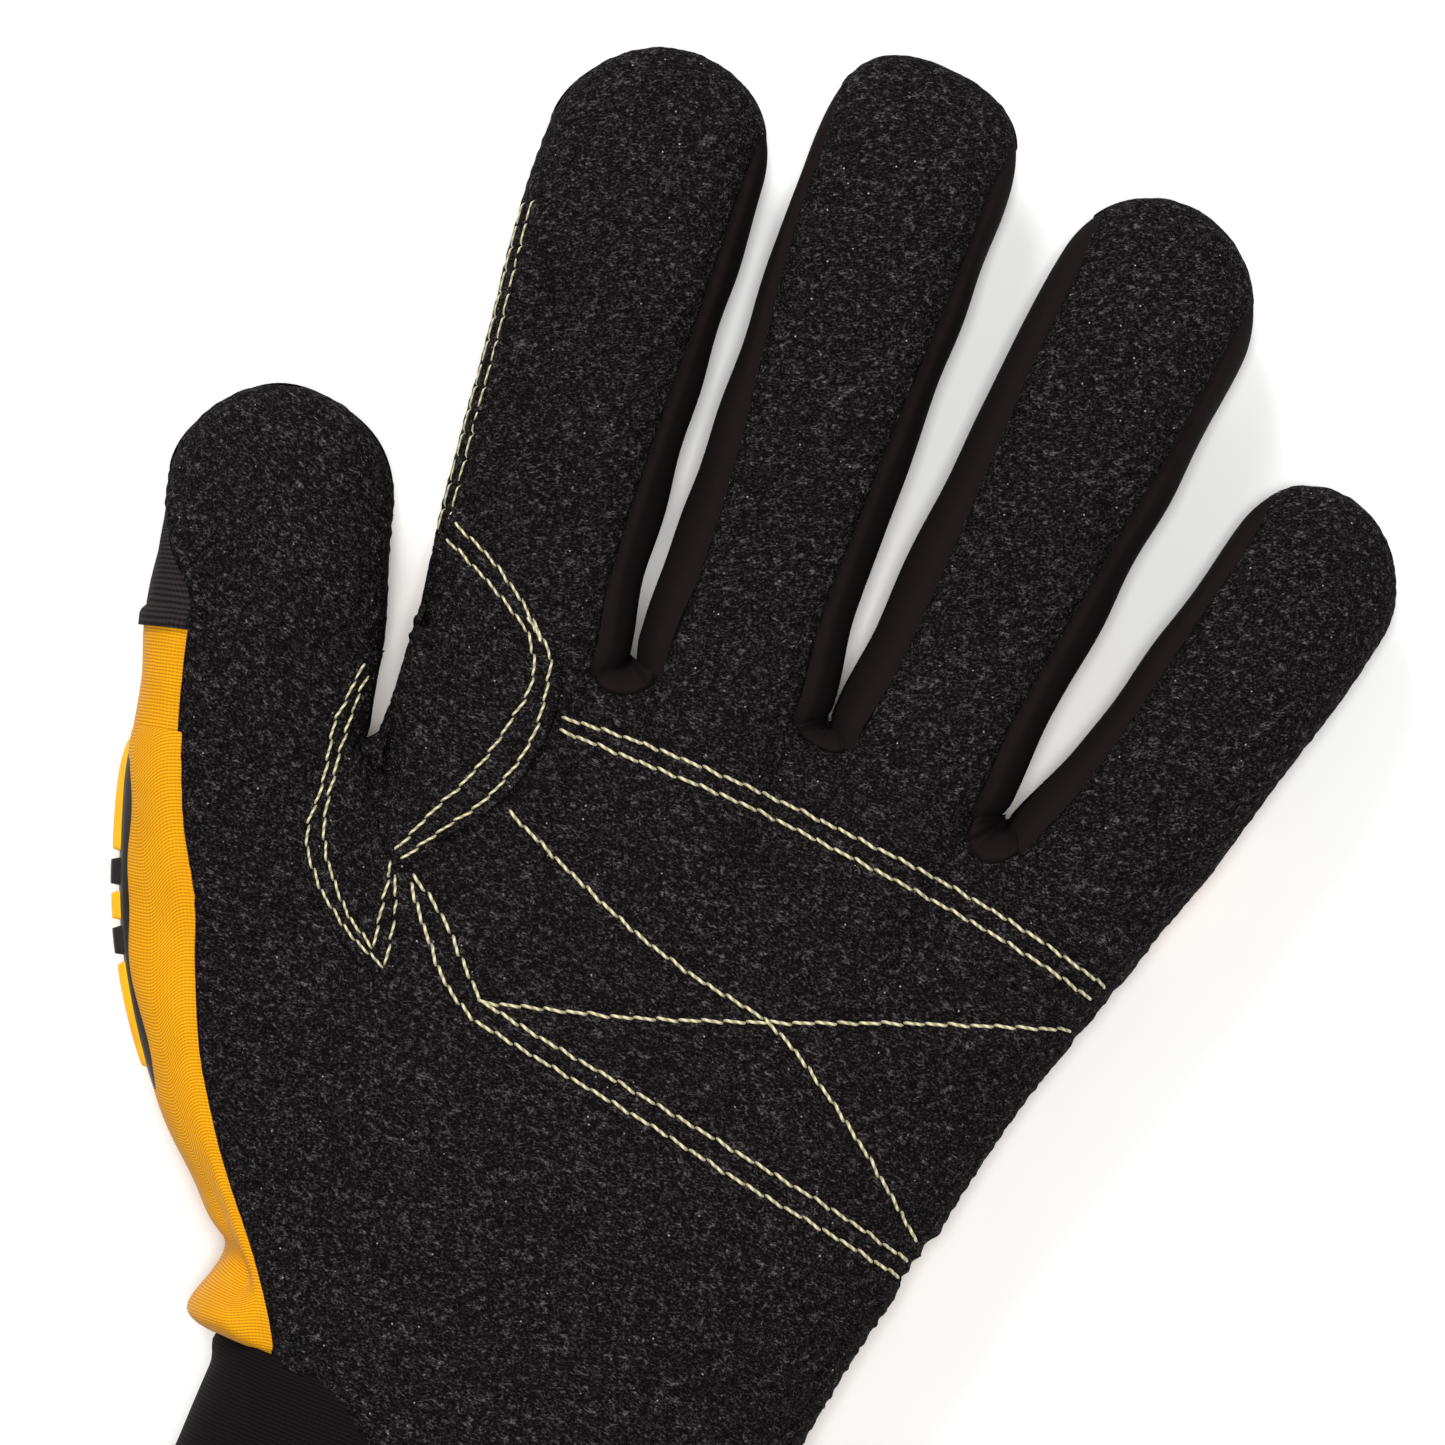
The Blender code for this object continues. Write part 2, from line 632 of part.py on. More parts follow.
def cuff_point(angle, along):
    """Point of the cuff, along 0 at the wrist seam and 1 at its mouth."""
    half_width = WRIST_HALF_WIDTH + (CUFF_MOUTH_HALF_WIDTH - WRIST_HALF_WIDTH) * along
    half_depth = (WRIST_DEPTH + (CUFF_MOUTH_DEPTH - WRIST_DEPTH) * along) / 2
    cosine, sine = math.cos(angle), math.sin(angle)
    power = 2.0 / HAND_SQUARENESS
    x = WRIST_X + half_width * math.copysign(abs(cosine) ** power, cosine)
    z = half_depth + half_depth * math.copysign(abs(sine) ** power, sine)
    return (x, WRIST_Y - SEAM_GAP - CUFF_LENGTH * along, z)


def add_cuff(glove):
    """The cuff and the tape inside its mouth."""
    ring = spread(0.0, -2.0 * math.pi, 32)
    sheet("cuff", cuff_point, ring, spread(0.0, 1.0, 3), CLOTHS["cuff"], glove, CUFF_CLOTH)
    bound = BINDING_WIDTH / CUFF_LENGTH
    rows = spread(1.0 - bound, 1.0, 1)
    sink = CUFF_CLOTH + LAYER_GAP
    sheet("cuff_binding", cuff_point, ring, rows, CLOTHS["strip"], glove, BINDING_CLOTH, sink)


# Build

for old in list(bpy.data.objects):
    bpy.data.objects.remove(old, do_unlink=True)

place_roots()
KNOTS, KNOT_POINTS = root_knots()
GLOVE = bpy.data.collections.new("work_glove")
bpy.context.scene.collection.children.link(GLOVE)
CLOTHS = {
    "palm": material("textured_palm_fabric", PALM_BLACK, 0.75),
    "knit": material("yellow_stretch_knit", YELLOW, 0.8),
    "strip": material("black_stretch_strip", STRIP_BLACK, 0.7),
    "tip": material("black_ribbed_knit", STRIP_BLACK, 0.8),
    "cuff": material("black_neoprene", STRIP_BLACK, 0.6),
    "lining": material("grey_fleece", LINING_GREY, 0.95),
    "foam": material("grey_foam", LINING_GREY, 0.9),
}
RUBBERS = {
    "black": material("black_moulded_rubber", RUBBER_BLACK, 0.5),
    "yellow": material("yellow_moulded_rubber", YELLOW, 0.45),
}
glove_empty = axis_empty("glove", None, (0.0, 0.0, 0.0))
for each in DIGITS:
    add_digit(each, glove_empty)
add_palm_and_back(glove_empty)
add_hand_lining(glove_empty)
add_palm_pad(glove_empty)
add_saddle_patch(glove_empty)
add_webs(glove_empty)
add_knuckle_guard(glove_empty)
add_thumb_guard(glove_empty)
add_cuff(glove_empty)
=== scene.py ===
# %% [markdown]
# # A sewn work glove, palm up
#
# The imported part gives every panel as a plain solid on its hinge. This lesson dresses it:
# crinkled palm cloth, knit back, stitched patch in the thumb's web, quilting thread and moulded
# guards. Lengths are in millimetres until a mesh is made, because cloth is thought of in them.

import json

import bpy
import numpy as np
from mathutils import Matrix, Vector


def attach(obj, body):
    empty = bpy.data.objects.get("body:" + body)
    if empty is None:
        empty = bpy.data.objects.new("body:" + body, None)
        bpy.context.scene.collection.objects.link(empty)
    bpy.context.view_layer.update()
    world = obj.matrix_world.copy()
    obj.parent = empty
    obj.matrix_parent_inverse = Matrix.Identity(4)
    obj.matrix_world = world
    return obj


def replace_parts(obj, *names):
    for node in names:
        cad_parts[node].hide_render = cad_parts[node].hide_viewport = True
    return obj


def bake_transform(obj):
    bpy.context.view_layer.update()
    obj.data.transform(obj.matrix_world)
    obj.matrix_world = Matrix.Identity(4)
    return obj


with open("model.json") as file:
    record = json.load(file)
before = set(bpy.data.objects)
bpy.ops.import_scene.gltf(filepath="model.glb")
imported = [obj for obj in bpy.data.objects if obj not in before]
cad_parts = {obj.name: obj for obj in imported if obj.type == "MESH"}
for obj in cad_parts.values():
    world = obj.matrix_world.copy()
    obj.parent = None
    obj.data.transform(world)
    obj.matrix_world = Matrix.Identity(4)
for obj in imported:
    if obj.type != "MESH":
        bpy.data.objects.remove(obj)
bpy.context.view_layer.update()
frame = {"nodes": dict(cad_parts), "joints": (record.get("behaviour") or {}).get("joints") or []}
JOINTS = {joint["name"]: joint for joint in frame["joints"]}
MM = 0.001
print("frame:", len(frame["nodes"]), "nodes,", len(JOINTS), "hinges")

# %% [markdown]
# ## Curves and ripples
#
# Cloth could be shaped by hand in sculpt mode, or by a simulation. Here every shape is a formula
# on a grid, so it comes out the same each time and meets its neighbour along a shared seam.
# The crinkle is a sum of sine waves in many directions: read at a point in space, it gives two
# panels that share a seam the same height there, which a noise per panel would not.

# %% Curve helpers


def smooth(x, low=0.0, high=1.0):
    """Eases from 0 at low to 1 at high: 3 s squared minus 2 s cubed of the share s."""
    share = np.clip((np.asarray(x, float) - low) / (high - low), 0.0, 1.0)
    return share * share * (3.0 - 2.0 * share)


def dome(across, power):
    """Height of a rounded box section: the power-th root of 1 less across to that power."""
    return (1.0 - np.minimum(np.abs(across), 1.0) ** power) ** (1.0 / power)


def signed_power(x, power):
    """The size of x raised to a power, with x's own sign."""
    return np.sign(x) * np.abs(x) ** power


def mound(distance, width):
    """1 on a line, falling off on both sides as a bell curve."""
    return np.exp(-((distance / width) ** 2))


def ripple(points, wavelength, seed, waves=14):
    """Sum of sine waves of one wavelength in seeded directions, mostly between -1.5 and 1.5."""
    dice = np.random.default_rng(seed)
    directions = dice.normal(size=(waves, 3))
    directions /= np.linalg.norm(directions, axis=1, keepdims=True)
    phases = dice.uniform(0.0, 2.0 * np.pi, waves)
    turns = points @ directions.T * (2.0 * np.pi / wavelength) + phases
    return np.sin(turns).sum(-1) * np.sqrt(2.0 / waves)


def lengths_along(path):
    """Distance walked from the first point of a path to each of its points."""
    return np.concatenate([[0.0], np.cumsum(np.linalg.norm(np.diff(path, axis=0), axis=1))])


def curve_through(knots, count):
    """A Catmull-Rom curve through the knots, as points spaced evenly by length."""
    knots = np.asarray(knots, float)
    ends = np.vstack([2 * knots[0] - knots[1], knots, 2 * knots[-1] - knots[-2]])
    place = np.linspace(0.0, len(knots) - 1.0, 30 * len(knots))
    span = np.minimum(place.astype(int), len(knots) - 2)
    f = (place - span)[:, None]
    a, b, c, d = (ends[span + k] for k in range(4))
    fine = b + 0.5 * f * (c - a + f * (2 * a - 5 * b + 4 * c - d + f * (3 * (b - c) + d - a)))
    even = np.linspace(0.0, lengths_along(fine)[-1], count)
    return np.stack([np.interp(even, lengths_along(fine), column) for column in fine.T], 1)


def distance_to(path, points):
    """Shortest distance in plan from each point to a path of straight pieces."""
    plan = points[..., :2]
    nearest = np.full(plan.shape[:-1], np.inf)
    for start, end in zip(path, path[1:]):
        step = end - start
        share = np.clip((plan - start) @ step / (step @ step), 0.0, 1.0)
        gap = plan - start - share[..., None] * step
        nearest = np.minimum(nearest, np.hypot(gap[..., 0], gap[..., 1]))
    return nearest


sample = np.random.default_rng(1).normal(size=(4000, 3)) * 40.0
print("a ripple of 2 mm swings about", round(float(ripple(sample, 2.0, 5).std()), 2))

# %% [markdown]
# ## From a grid of points to a piece
#
# A grid of points becomes a mesh of quads in one call. Its cloth map holds the real distance along
# both grid directions, in metres, so that a knit or rib drawn on it keeps its true size.

# %% Grid helpers


def grid_lengths(points, axis):
    """Distance walked along one grid direction, row by row or column by column."""
    steps = np.linalg.norm(np.diff(points, axis=axis), axis=-1)
    first = np.zeros_like(np.take(steps, [0], axis=axis))
    return np.cumsum(np.concatenate([first, steps], axis=axis), axis=axis)


def normals_of(points, outward):
    """Unit normals of a grid: the cross product of its two directions, turned outward."""
    down, right = np.gradient(points, axis=(0, 1))
    normal = np.cross(right, down)
    normal /= np.maximum(np.linalg.norm(normal, axis=-1, keepdims=True), 1e-9)
    return normal * np.sign((normal * outward).sum())


def raise_by(points, outward, height):
    """The grid moved along its own normals by a height in mm for each point."""
    return points + normals_of(points, outward) * height[..., None]


def quads_of(rows, columns, ring):
    """Corner numbers of a grid's quads; ring joins its last column to its first."""
    index = np.arange(rows * columns).reshape(rows, columns)
    index = np.hstack([index, index[:, :1]]) if ring else index
    return np.stack([index[:-1, :-1], index[:-1, 1:], index[1:, 1:], index[1:, :-1]], -1)


def add_object(name, data):
    """A new object of this data, linked into the scene."""
    thing = bpy.data.objects.new(name, data)
    bpy.context.scene.collection.objects.link(thing)
    return thing


def make_mesh(name, points, faces, cloth, look):
    """A smooth-shaded object of points in mm; cloth is the place of each on the cloth map."""
    mesh = bpy.data.meshes.new(name)
    mesh.from_pydata((points * MM).tolist(), [], faces)
    corner = np.zeros(len(mesh.loops), int)
    mesh.loops.foreach_get("vertex_index", corner)
    mesh.uv_layers.new(name="cloth").data.foreach_set("uv", (cloth[corner] * MM).ravel())
    mesh.materials.append(look)
    mesh.shade_smooth()
    return add_object(name, mesh)


def make_piece(name, points, outward, look, keep=None, ring=False):
    """A piece of a grid of points in mm; keep picks its quads, ring closes it."""
    quads = quads_of(*points.shape[:2], ring)
    down, right = np.gradient(points, axis=(0, 1))
    quads = quads if (np.cross(right, down) * outward).sum() > 0 else quads[..., ::-1]
    quads = quads.reshape(-1, 4) if keep is None else quads[keep]
    used, corners = np.unique(quads, return_inverse=True)
    cloth = np.stack([grid_lengths(points, 1), grid_lengths(points, 0)], -1).reshape(-1, 2)
    faces = corners.reshape(-1, 4).tolist()
    piece = make_mesh(name, points.reshape(-1, 3)[used], faces, cloth[used], look)
    return piece


def thicken(piece, thickness):
    """Gives a sheet its cloth thickness, inwards from the face that shows."""
    cloth = piece.modifiers.new("cloth", "SOLIDIFY")
    cloth.thickness = thickness * MM
    cloth.offset = -1.0
    return piece


def drop(plan, targets):
    """Height of the topmost target under each plan point.

    A mesh of the bare points is shrinkwrapped straight down. Points that miss take the
    height of their neighbours in the row.
    """
    sky = 200.0
    flat = plan.reshape(-1, 2)
    mesh = bpy.data.meshes.new("falling")
    mesh.from_pydata((np.c_[flat, np.full(len(flat), sky)] * MM).tolist(), [], [])
    falling = add_object("falling", mesh)
    wrap = falling.modifiers.new("down", "SHRINKWRAP")
    wrap.wrap_method = "PROJECT"
    wrap.use_project_z = True
    wrap.use_negative_direction = True
    wrap.use_positive_direction = False
    best = np.full(len(flat), -np.inf)
    for target in targets:
        wrap.target = target
        landed = falling.evaluated_get(bpy.context.evaluated_depsgraph_get()).data
        found = np.zeros(len(flat) * 3, np.float32)
        landed.vertices.foreach_get("co", found)
        height = found.reshape(-1, 3)[:, 2] / MM
        best = np.maximum(best, np.where(height > sky - 1.0, -np.inf, height))
    bpy.data.objects.remove(falling)
    hit = np.isfinite(best)
    best[~hit] = np.interp(np.flatnonzero(~hit), np.flatnonzero(hit), best[hit])
    return best.reshape(plan.shape[:-1])


print("grid helpers ready")

# %% [markdown]
# ## Finishes
#
# Each finish is built from nodes. Colours are sRGB hex values turned to linear, and each pattern's
# scale is a real size: one cell of a texture at scale 1 is one metre, so a Mapping node divides by
# the pattern's size. One function adds a node. The ones after it are the steps that every finish
# takes: a noise, some maths, a new range, a mix of two colours and the links to the shader.

# %% Material helpers


def linear(colour):
    """An sRGB hex colour as linear red, green, blue and alpha."""
    values = np.array([int(colour[k : k + 2], 16) for k in (1, 3, 5)]) / 255.0
    low, high = values / 12.92, ((values + 0.055) / 1.055) ** 2.4
    return (*np.where(values <= 0.04045, low, high), 1.0)


def add(tree, kind, sockets=(), **settings):
    """Adds a node: settings are its properties, sockets its values or the outputs linked in."""
    node = tree.nodes.new(kind)
    for key, value in settings.items():
        setattr(node, key, value)
    for key, value in dict(sockets).items():
        if isinstance(value, bpy.types.NodeSocket):
            tree.links.new(value, node.inputs[key])
        else:
            node.inputs[key].default_value = value
    return node


def start_finish(name, constants):
    """A new material, its tree and its shader, with the values that are the same all over."""
    finish = bpy.data.materials.new(name)
    finish.use_nodes = True
    shader = finish.node_tree.nodes["Principled BSDF"]
    for socket, value in constants.items():
        shader.inputs[socket].default_value = value
    return finish, finish.node_tree, shader


def scaled(tree, place, across, along, up=None):
    """Texture coordinates in which one cell is this many millimetres."""
    scale = tuple(1.0 / (size * MM) for size in (across, along, up or along))
    return add(tree, "ShaderNodeMapping", {"Vector": place, "Scale": scale}).outputs[0]


def noise(tree, place, cell, **sockets):
    """Noise with cells of this many millimetres; sockets are its other values."""
    sockets = {"Vector": scaled(tree, place, *cell), "Scale": 1.0, **sockets}
    return add(tree, "ShaderNodeTexNoise", sockets).outputs[0]


def maths(tree, operation, *values):
    """One operation on values that are numbers or the outputs of other nodes."""
    return add(tree, "ShaderNodeMath", dict(enumerate(values)), operation=operation).outputs[0]


def remap(tree, value, low, high, start=0.0, end=1.0, kind="LINEAR"):
    """Moves a value from between low and high to between start and end."""
    return add(tree, "ShaderNodeMapRange", {
        "Value": value, "From Min": low, "From Max": high, "To Min": start, "To Max": end,
    }, interpolation_type=kind).outputs[0]


def mix(tree, share, first, second):
    """A share of the way from one colour to another."""
    return add(tree, "ShaderNodeMix", {0: share, 6: first, 7: second}, data_type="RGBA").outputs[2]


def dress(tree, shader, colour, rough, relief, strength, depth):
    """Links a colour, a roughness and a relief of some depth in mm to the shader."""
    bumps = add(tree, "ShaderNodeBump", {
        "Height": relief, "Strength": strength, "Distance": depth * MM,
    }).outputs[0]
    for socket, value in (("Base Color", colour), ("Roughness", rough), ("Normal", bumps)):
        tree.links.new(value, shader.inputs[socket])


print("yellow in linear light:", [round(float(v), 3) for v in linear("#ecaa19")])

# %% [markdown]
# ### Crinkled palm cloth
#
# The palm is a knit with a crinkled polyurethane coat. Up close it is a near-black fuzz with short
# wavy crests, 1 to 2 mm long and a quarter of a millimetre thick, that show grey where the light
# catches them, and a few glints. Both are painted into the colour: the crests as painted
# highlights over painted shade in the hollows, the glints as painted highlights. A photo texture
# would show its edges and repeat. The crests here are the places where a stretched noise crosses
# its middle value, which gives thin wandering lines, and a second noise breaks them into dashes.

# %% Crinkled palm cloth
FUZZ_CELL = (0.38, 0.26, 0.35)  # mm across, along and up
CREST_CELL = (1.9, 0.8, 1.0)
DASH_CELL = (1.1, 0.9)
GLINT_CELL = (2.4, 2.4)


def palm_cloth(name, turn):
    """Near-black crepe, its wavy crests painted light; turn is the crests' direction in degrees."""
    finish, tree, shader = start_finish(name, {"Specular IOR Level": 0.02})
    place = add(tree, "ShaderNodeTexCoord").outputs["Object"]
    turned = add(tree, "ShaderNodeMapping", {
        "Vector": place, "Rotation": (0.0, 0.0, -np.radians(turn)),
    }).outputs[0]
    fuzz = noise(tree, turned, FUZZ_CELL, Detail=1.5, Roughness=0.6, Distortion=0.5)
    waves = noise(tree, turned, CREST_CELL, Detail=1.0, Distortion=1.8)
    from_middle = maths(tree, "ABSOLUTE", maths(tree, "SUBTRACT", waves, 0.5))
    crests = remap(tree, from_middle, 0.0, 0.13, 0.27, 0.0, "SMOOTHSTEP")
    dashes = remap(tree, noise(tree, turned, DASH_CELL, Detail=1.0), 0.44, 0.66)
    relief = maths(tree, "ADD", fuzz, maths(tree, "MULTIPLY", crests, dashes))
    # Painted light: the colour follows the relief, from painted shade in the hollows to a painted
    # highlight on the crests.
    painted_crest_light = maths(tree, "POWER", remap(tree, relief, 0.42, 1.12), 2.2)
    coat_with_painted_light = mix(tree, painted_crest_light, linear("#0d090a"), linear("#857d80"))
    # Painted highlights: a few glints, small pale spots near the cells' points.
    painted_glints = add(tree, "ShaderNodeTexVoronoi", {
        "Vector": scaled(tree, place, *GLINT_CELL), "Scale": 1.0,
    }).outputs["Distance"]
    colour = mix(tree, remap(tree, painted_glints, 0.02, 0.06, 0.9, 0.0), coat_with_painted_light, linear("#b9b3b0"))
    rough = remap(tree, relief, 0.0, 1.0, 0.95, 0.6)
    dress(tree, shader, colour, rough, relief, strength=0.9, depth=0.35)
    return finish


GRAIN = 20.0  # the fingers' creases lie this many degrees off the X axis
PALM_CLOTH = palm_cloth("crinkled_coated_knit", GRAIN - 25.0)
FINGER_CLOTH = palm_cloth("crinkled_coated_knit_on_the_fingers", GRAIN)
THUMB_CLOTH = palm_cloth("crinkled_coated_knit_on_the_bias", GRAIN - 38.0)
print("palm cloth:", len(PALM_CLOTH.node_tree.nodes), "nodes")

# %% [markdown]
# ### Knits
#
# The back is a yellow stretch knit, the side strips a plain black jersey, the fingertip backs a
# black rib and the cuff a jersey-faced neoprene. A knit is rows and columns of loops, so two
# crossed sine bands on the cloth map give it, at the real loop pitch: about half a millimetre on
# the jerseys, more on the rib and the fleece. Its colour runs with the relief from the valley
# colour to the ridge colour, so the valleys between the loops hold painted shade.

# %% Knits


def knit(name, valley_shade, ridge, row, column, depth, sheen, roughness=0.85):
    """A knit of two crossed bands: row and column are the loop pitches, depth its relief, in mm."""
    finish, tree, shader = start_finish(
        name, {"Sheen Weight": sheen, "Sheen Roughness": 0.4, "Specular IOR Level": 0.08}
    )
    place = add(tree, "ShaderNodeTexCoord").outputs
    drift = noise(tree, place["Object"], (5.0, 5.0), Detail=3.0)
    cloth = add(tree, "ShaderNodeSeparateXYZ", {0: place["UV"]}).outputs
    bands = []
    for walked, pitch in ((cloth[1], row), (cloth[0], column)):
        turns = maths(tree, "MULTIPLY", walked, 2.0 * np.pi / (pitch * MM))
        bands.append(maths(tree, "SINE", maths(tree, "MULTIPLY_ADD", drift, 5.0, turns)))
    loops = maths(tree, "MULTIPLY_ADD", bands[1], 0.3, bands[0])
    share = remap(tree, loops, -1.3, 1.2, kind="SMOOTHSTEP")
    uneven = remap(tree, drift, 0.3, 0.7, 0.72, 1.0)
    # Painted shade: the colour darkens from the ridge colour to the valley colour down into the
    # loops' valleys.
    colour = mix(tree, maths(tree, "MULTIPLY", share, uneven), linear(valley_shade), linear(ridge))
    rough = remap(tree, share, 0.0, 1.0, 0.95, roughness)
    dress(tree, shader, colour, rough, share, strength=0.8, depth=depth)
    return finish


YELLOW_KNIT = knit("yellow_spandex_knit", "#b87607", "#e9a613", 0.42, 0.5, 0.05, 0.08)
STRIP_JERSEY = knit("black_spandex_jersey", "#140d0e", "#181112", 0.35, 0.4, 0.005, 0.0)
RIB_KNIT = knit("black_rib_knit", "#141011", "#322b2d", 0.8, 0.6, 0.10, 0.0)
NEOPRENE = knit("jersey_faced_neoprene", "#0a0608", "#130e11", 0.5, 0.55, 0.03, 0.0, 0.8)
FLEECE = knit("brushed_polyester_fleece", "#3a393c", "#56555a", 0.9, 1.1, 0.12, 0.25)
FOAM = knit("polyurethane_foam", "#4a494b", "#646366", 1.3, 1.3, 0.15, 0.0)
KNITS = (YELLOW_KNIT, STRIP_JERSEY, RIB_KNIT, NEOPRENE, FLEECE, FOAM)
print("knits:", [look.name for look in KNITS])

# %% [markdown]
# ### Moulded rubber and thread
#
# The guards are moulded thermoplastic rubber: a satin skin with a fine spark-eroded grain from
# the mould. The thread is a two-ply cream polyester, so slanting bands along the stitch show the
# plies.

# %% Rubber and thread
MOULD_GRAIN, HANDLING_MARK, PLY_TURN = 0.35, 6.0, 1.1  # mm


def moulded_rubber(name, colour, worn):
    """Satin rubber with a fine mould grain and cloudy handling marks."""
    finish, tree, shader = start_finish(name, {"IOR": 1.5, "Specular IOR Level": 0.25})
    place = add(tree, "ShaderNodeTexCoord").outputs["Object"]
    grain = noise(tree, place, (MOULD_GRAIN, MOULD_GRAIN), Detail=2.0)
    cloud = noise(tree, place, (HANDLING_MARK, HANDLING_MARK), Detail=4.0)
    tint = mix(tree, remap(tree, cloud, 0.4, 0.75), linear(colour), linear(worn))
    rough = remap(tree, cloud, 0.0, 1.0, 0.38, 0.6)
    dress(tree, shader, tint, rough, grain, strength=0.4, depth=0.06)
    return finish


def sewing_thread(name, shade, light):
    """Two-ply thread: bands that slant along the stitch, one to each turn of the plies."""
    finish, tree, shader = start_finish(name, {"Sheen Weight": 0.2, "Specular IOR Level": 0.4})
    place = add(tree, "ShaderNodeTexCoord").outputs["UV"]
    cloth = add(tree, "ShaderNodeSeparateXYZ", {0: place}).outputs
    slant = maths(tree, "ADD", cloth[0], cloth[1])
    plies = maths(tree, "SINE", maths(tree, "MULTIPLY", slant, 2.0 * np.pi / (PLY_TURN * MM)))
    tint = mix(tree, remap(tree, plies, -1.0, 0.6), linear(shade), linear(light))
    rough = remap(tree, plies, 0.0, 1.0, 0.75, 0.55)
    dress(tree, shader, tint, rough, plies, strength=0.6, depth=0.1)
    return finish


BLACK_RUBBER = moulded_rubber("black_thermoplastic_rubber", "#1d1817", "#2a2423")
YELLOW_RUBBER = moulded_rubber("yellow_thermoplastic_rubber", "#f0b111", "#e3a312")
THREAD = sewing_thread("cream_polyester_thread", "#9a936a", "#d6cfa8")
print("rubber and thread ready")

# %% [markdown]
# ## The form of a finger
#
# A finger's section is a rounded box, a superellipse. Two numbers give a point on it: the angle
# round the section and the share of the straight length. Near the tip the section closes onto a
# round outline. The two hinges of each finger say where it stands and which way it points.

# %% Fingers
KNUCKLE_DEPTH = 23.4
BACK_CLEARANCE = 4.0
FRONT_MID = BACK_CLEARANCE + KNUCKLE_DEPTH / 2
FINGER_POWER = 2.6  # exponent of the fingers' rounded section
TIP_DEPTH_SHARE = 0.88
TIP_DROP = 3.0  # how far the seam round a fingertip lies below the finger's middle
SPLIT_SHARE = 0.76  # of the way to the fold, where a lower and an upper piece meet
# A side: angles of the front's seam at the root and further on, angle of the back's seam, and the
# share of both that is left at the tip.
STRIP_SIDE = (44.0, 50.0, -40.0, 0.72)  # a strip lies between the two seams
SHORT_STRIP_SIDE = (44.0, 48.0, -40.0, 0.42)
WRAP_SIDE = (-25.0, -25.0, -25.0, 0.0)  # the front cloth wraps round the side
THUMB_SIDE = (54.0, 54.0, 54.0, 0.0)


class Digit:
    """A finger: its place from its hinges, its half widths and depth in mm, and its seams.

    Swell is how far the cloth stands out on its left and right side, skew how much further the
    left of its tip reaches than the right, and tip the exponent of the tip's round outline.
    """

    def __init__(self, name, length, root, waist, bulb, depth, left, right, swell, skew, tip=2.0,
                 run_out=(0.25, 0.95)):
        knuckle, fold = JOINTS[f"{name}_knuckle"], JOINTS[f"{name}_fold"]
        self.name, self.length = name, length
        self.root, self.waist, self.bulb, self.depth = root, waist, bulb, depth / 2
        self.left, self.right, self.run_out = left, right, run_out
        self.swell, self.skew, self.tip = swell, skew, tip
        self.centre = np.array(knuckle["pos_m"]) / MM
        self.across = np.array(knuckle["axis"])
        self.forward = np.cross((0.0, 0.0, 1.0), self.across)
        self.fold = np.linalg.norm(np.array(fold["pos_m"]) / MM - self.centre)
        self.straight = length - bulb
        self.split = SPLIT_SHARE * self.fold

    def along(self, distance):
        """A point of the hinge line's height, this far from the root, in metres."""
        return tuple((self.centre + self.forward * distance) * MM)

    def edge(self, share):
        """Plan point across the root: -1 at the left edge, 1 at the right edge."""
        return (self.centre + share * self.root * self.across)[:2]


def thumb_root_swell(x, y):
    """How far the knit stands out to the side at the thumb's root, in mm."""
    return 1.8 * smooth(-x, 58.0, 67.0) * mound(y + 14.7, 10.0)


def finger_surface(digit, angle, share):
    """Rounded box section of the finger, closing onto a round tip at share 1."""
    across = signed_power(np.cos(angle), 2.0 / FINGER_POWER)
    rise = signed_power(np.sin(angle), 2.0 / FINGER_POWER)
    half = digit.root + (digit.waist - digit.root) * smooth(share, 0.0, 0.5)
    half = half + (digit.bulb - digit.waist) * smooth(share, 0.5, 0.85)
    depth = KNUCKLE_DEPTH / 2 + (digit.depth - KNUCKLE_DEPTH / 2) * smooth(share, 0.0, 0.3)
    depth = depth * (1.0 - (1.0 - TIP_DEPTH_SHARE) * share)
    depth = depth * np.sqrt(np.clip(1.0 - share**10, 0.0, 1.0))
    along = share * digit.straight + digit.bulb * dome(across, digit.tip) * share**8
    along = along - digit.skew / 2 * across * share**6
    plan = digit.centre + (half * across)[..., None] * digit.across
    plan = plan + along[..., None] * digit.forward
    plan[..., 2] = FRONT_MID - TIP_DROP * smooth(share, 0.7, 1.0) + depth * rise
    plan[..., 0] -= thumb_root_swell(plan[..., 0], plan[..., 1])
    return plan


THUMB = Digit(
    "thumb", length=45.0, root=13.6, waist=14.7, bulb=14.2, depth=23.4,
    left=THUMB_SIDE, right=WRAP_SIDE, swell=(0.7, 0.0), skew=1.4, run_out=(0.5, 0.97),
)
INDEX = Digit(
    "index", length=79.2, root=12.9, waist=13.4, bulb=14.0, depth=23.4,
    left=WRAP_SIDE, right=STRIP_SIDE, swell=(1.3, -0.9), skew=0.0,
)
MIDDLE = Digit(
    "middle", length=84.5, root=12.2, waist=12.3, bulb=12.7, depth=23.4,
    left=SHORT_STRIP_SIDE, right=STRIP_SIDE, swell=(0.5, -0.6), skew=2.2, tip=2.6,
)
RING = Digit(
    "ring", length=81.0, root=11.8, waist=12.7, bulb=13.1, depth=22.8,
    left=STRIP_SIDE, right=STRIP_SIDE, swell=(0.4, -0.3), skew=2.2,
)
LITTLE = Digit(
    "little", length=61.0, root=11.6, waist=11.3, bulb=11.5, depth=21.6,
    left=STRIP_SIDE, right=WRAP_SIDE, swell=(-0.9, 0.9), skew=1.8,
)
FINGERS = (INDEX, MIDDLE, RING, LITTLE)
DIGITS = (THUMB, *FINGERS)
for digit in DIGITS:
    print(digit.name, "root at", np.round(digit.centre, 1), "fold at", round(digit.fold, 1), "mm")

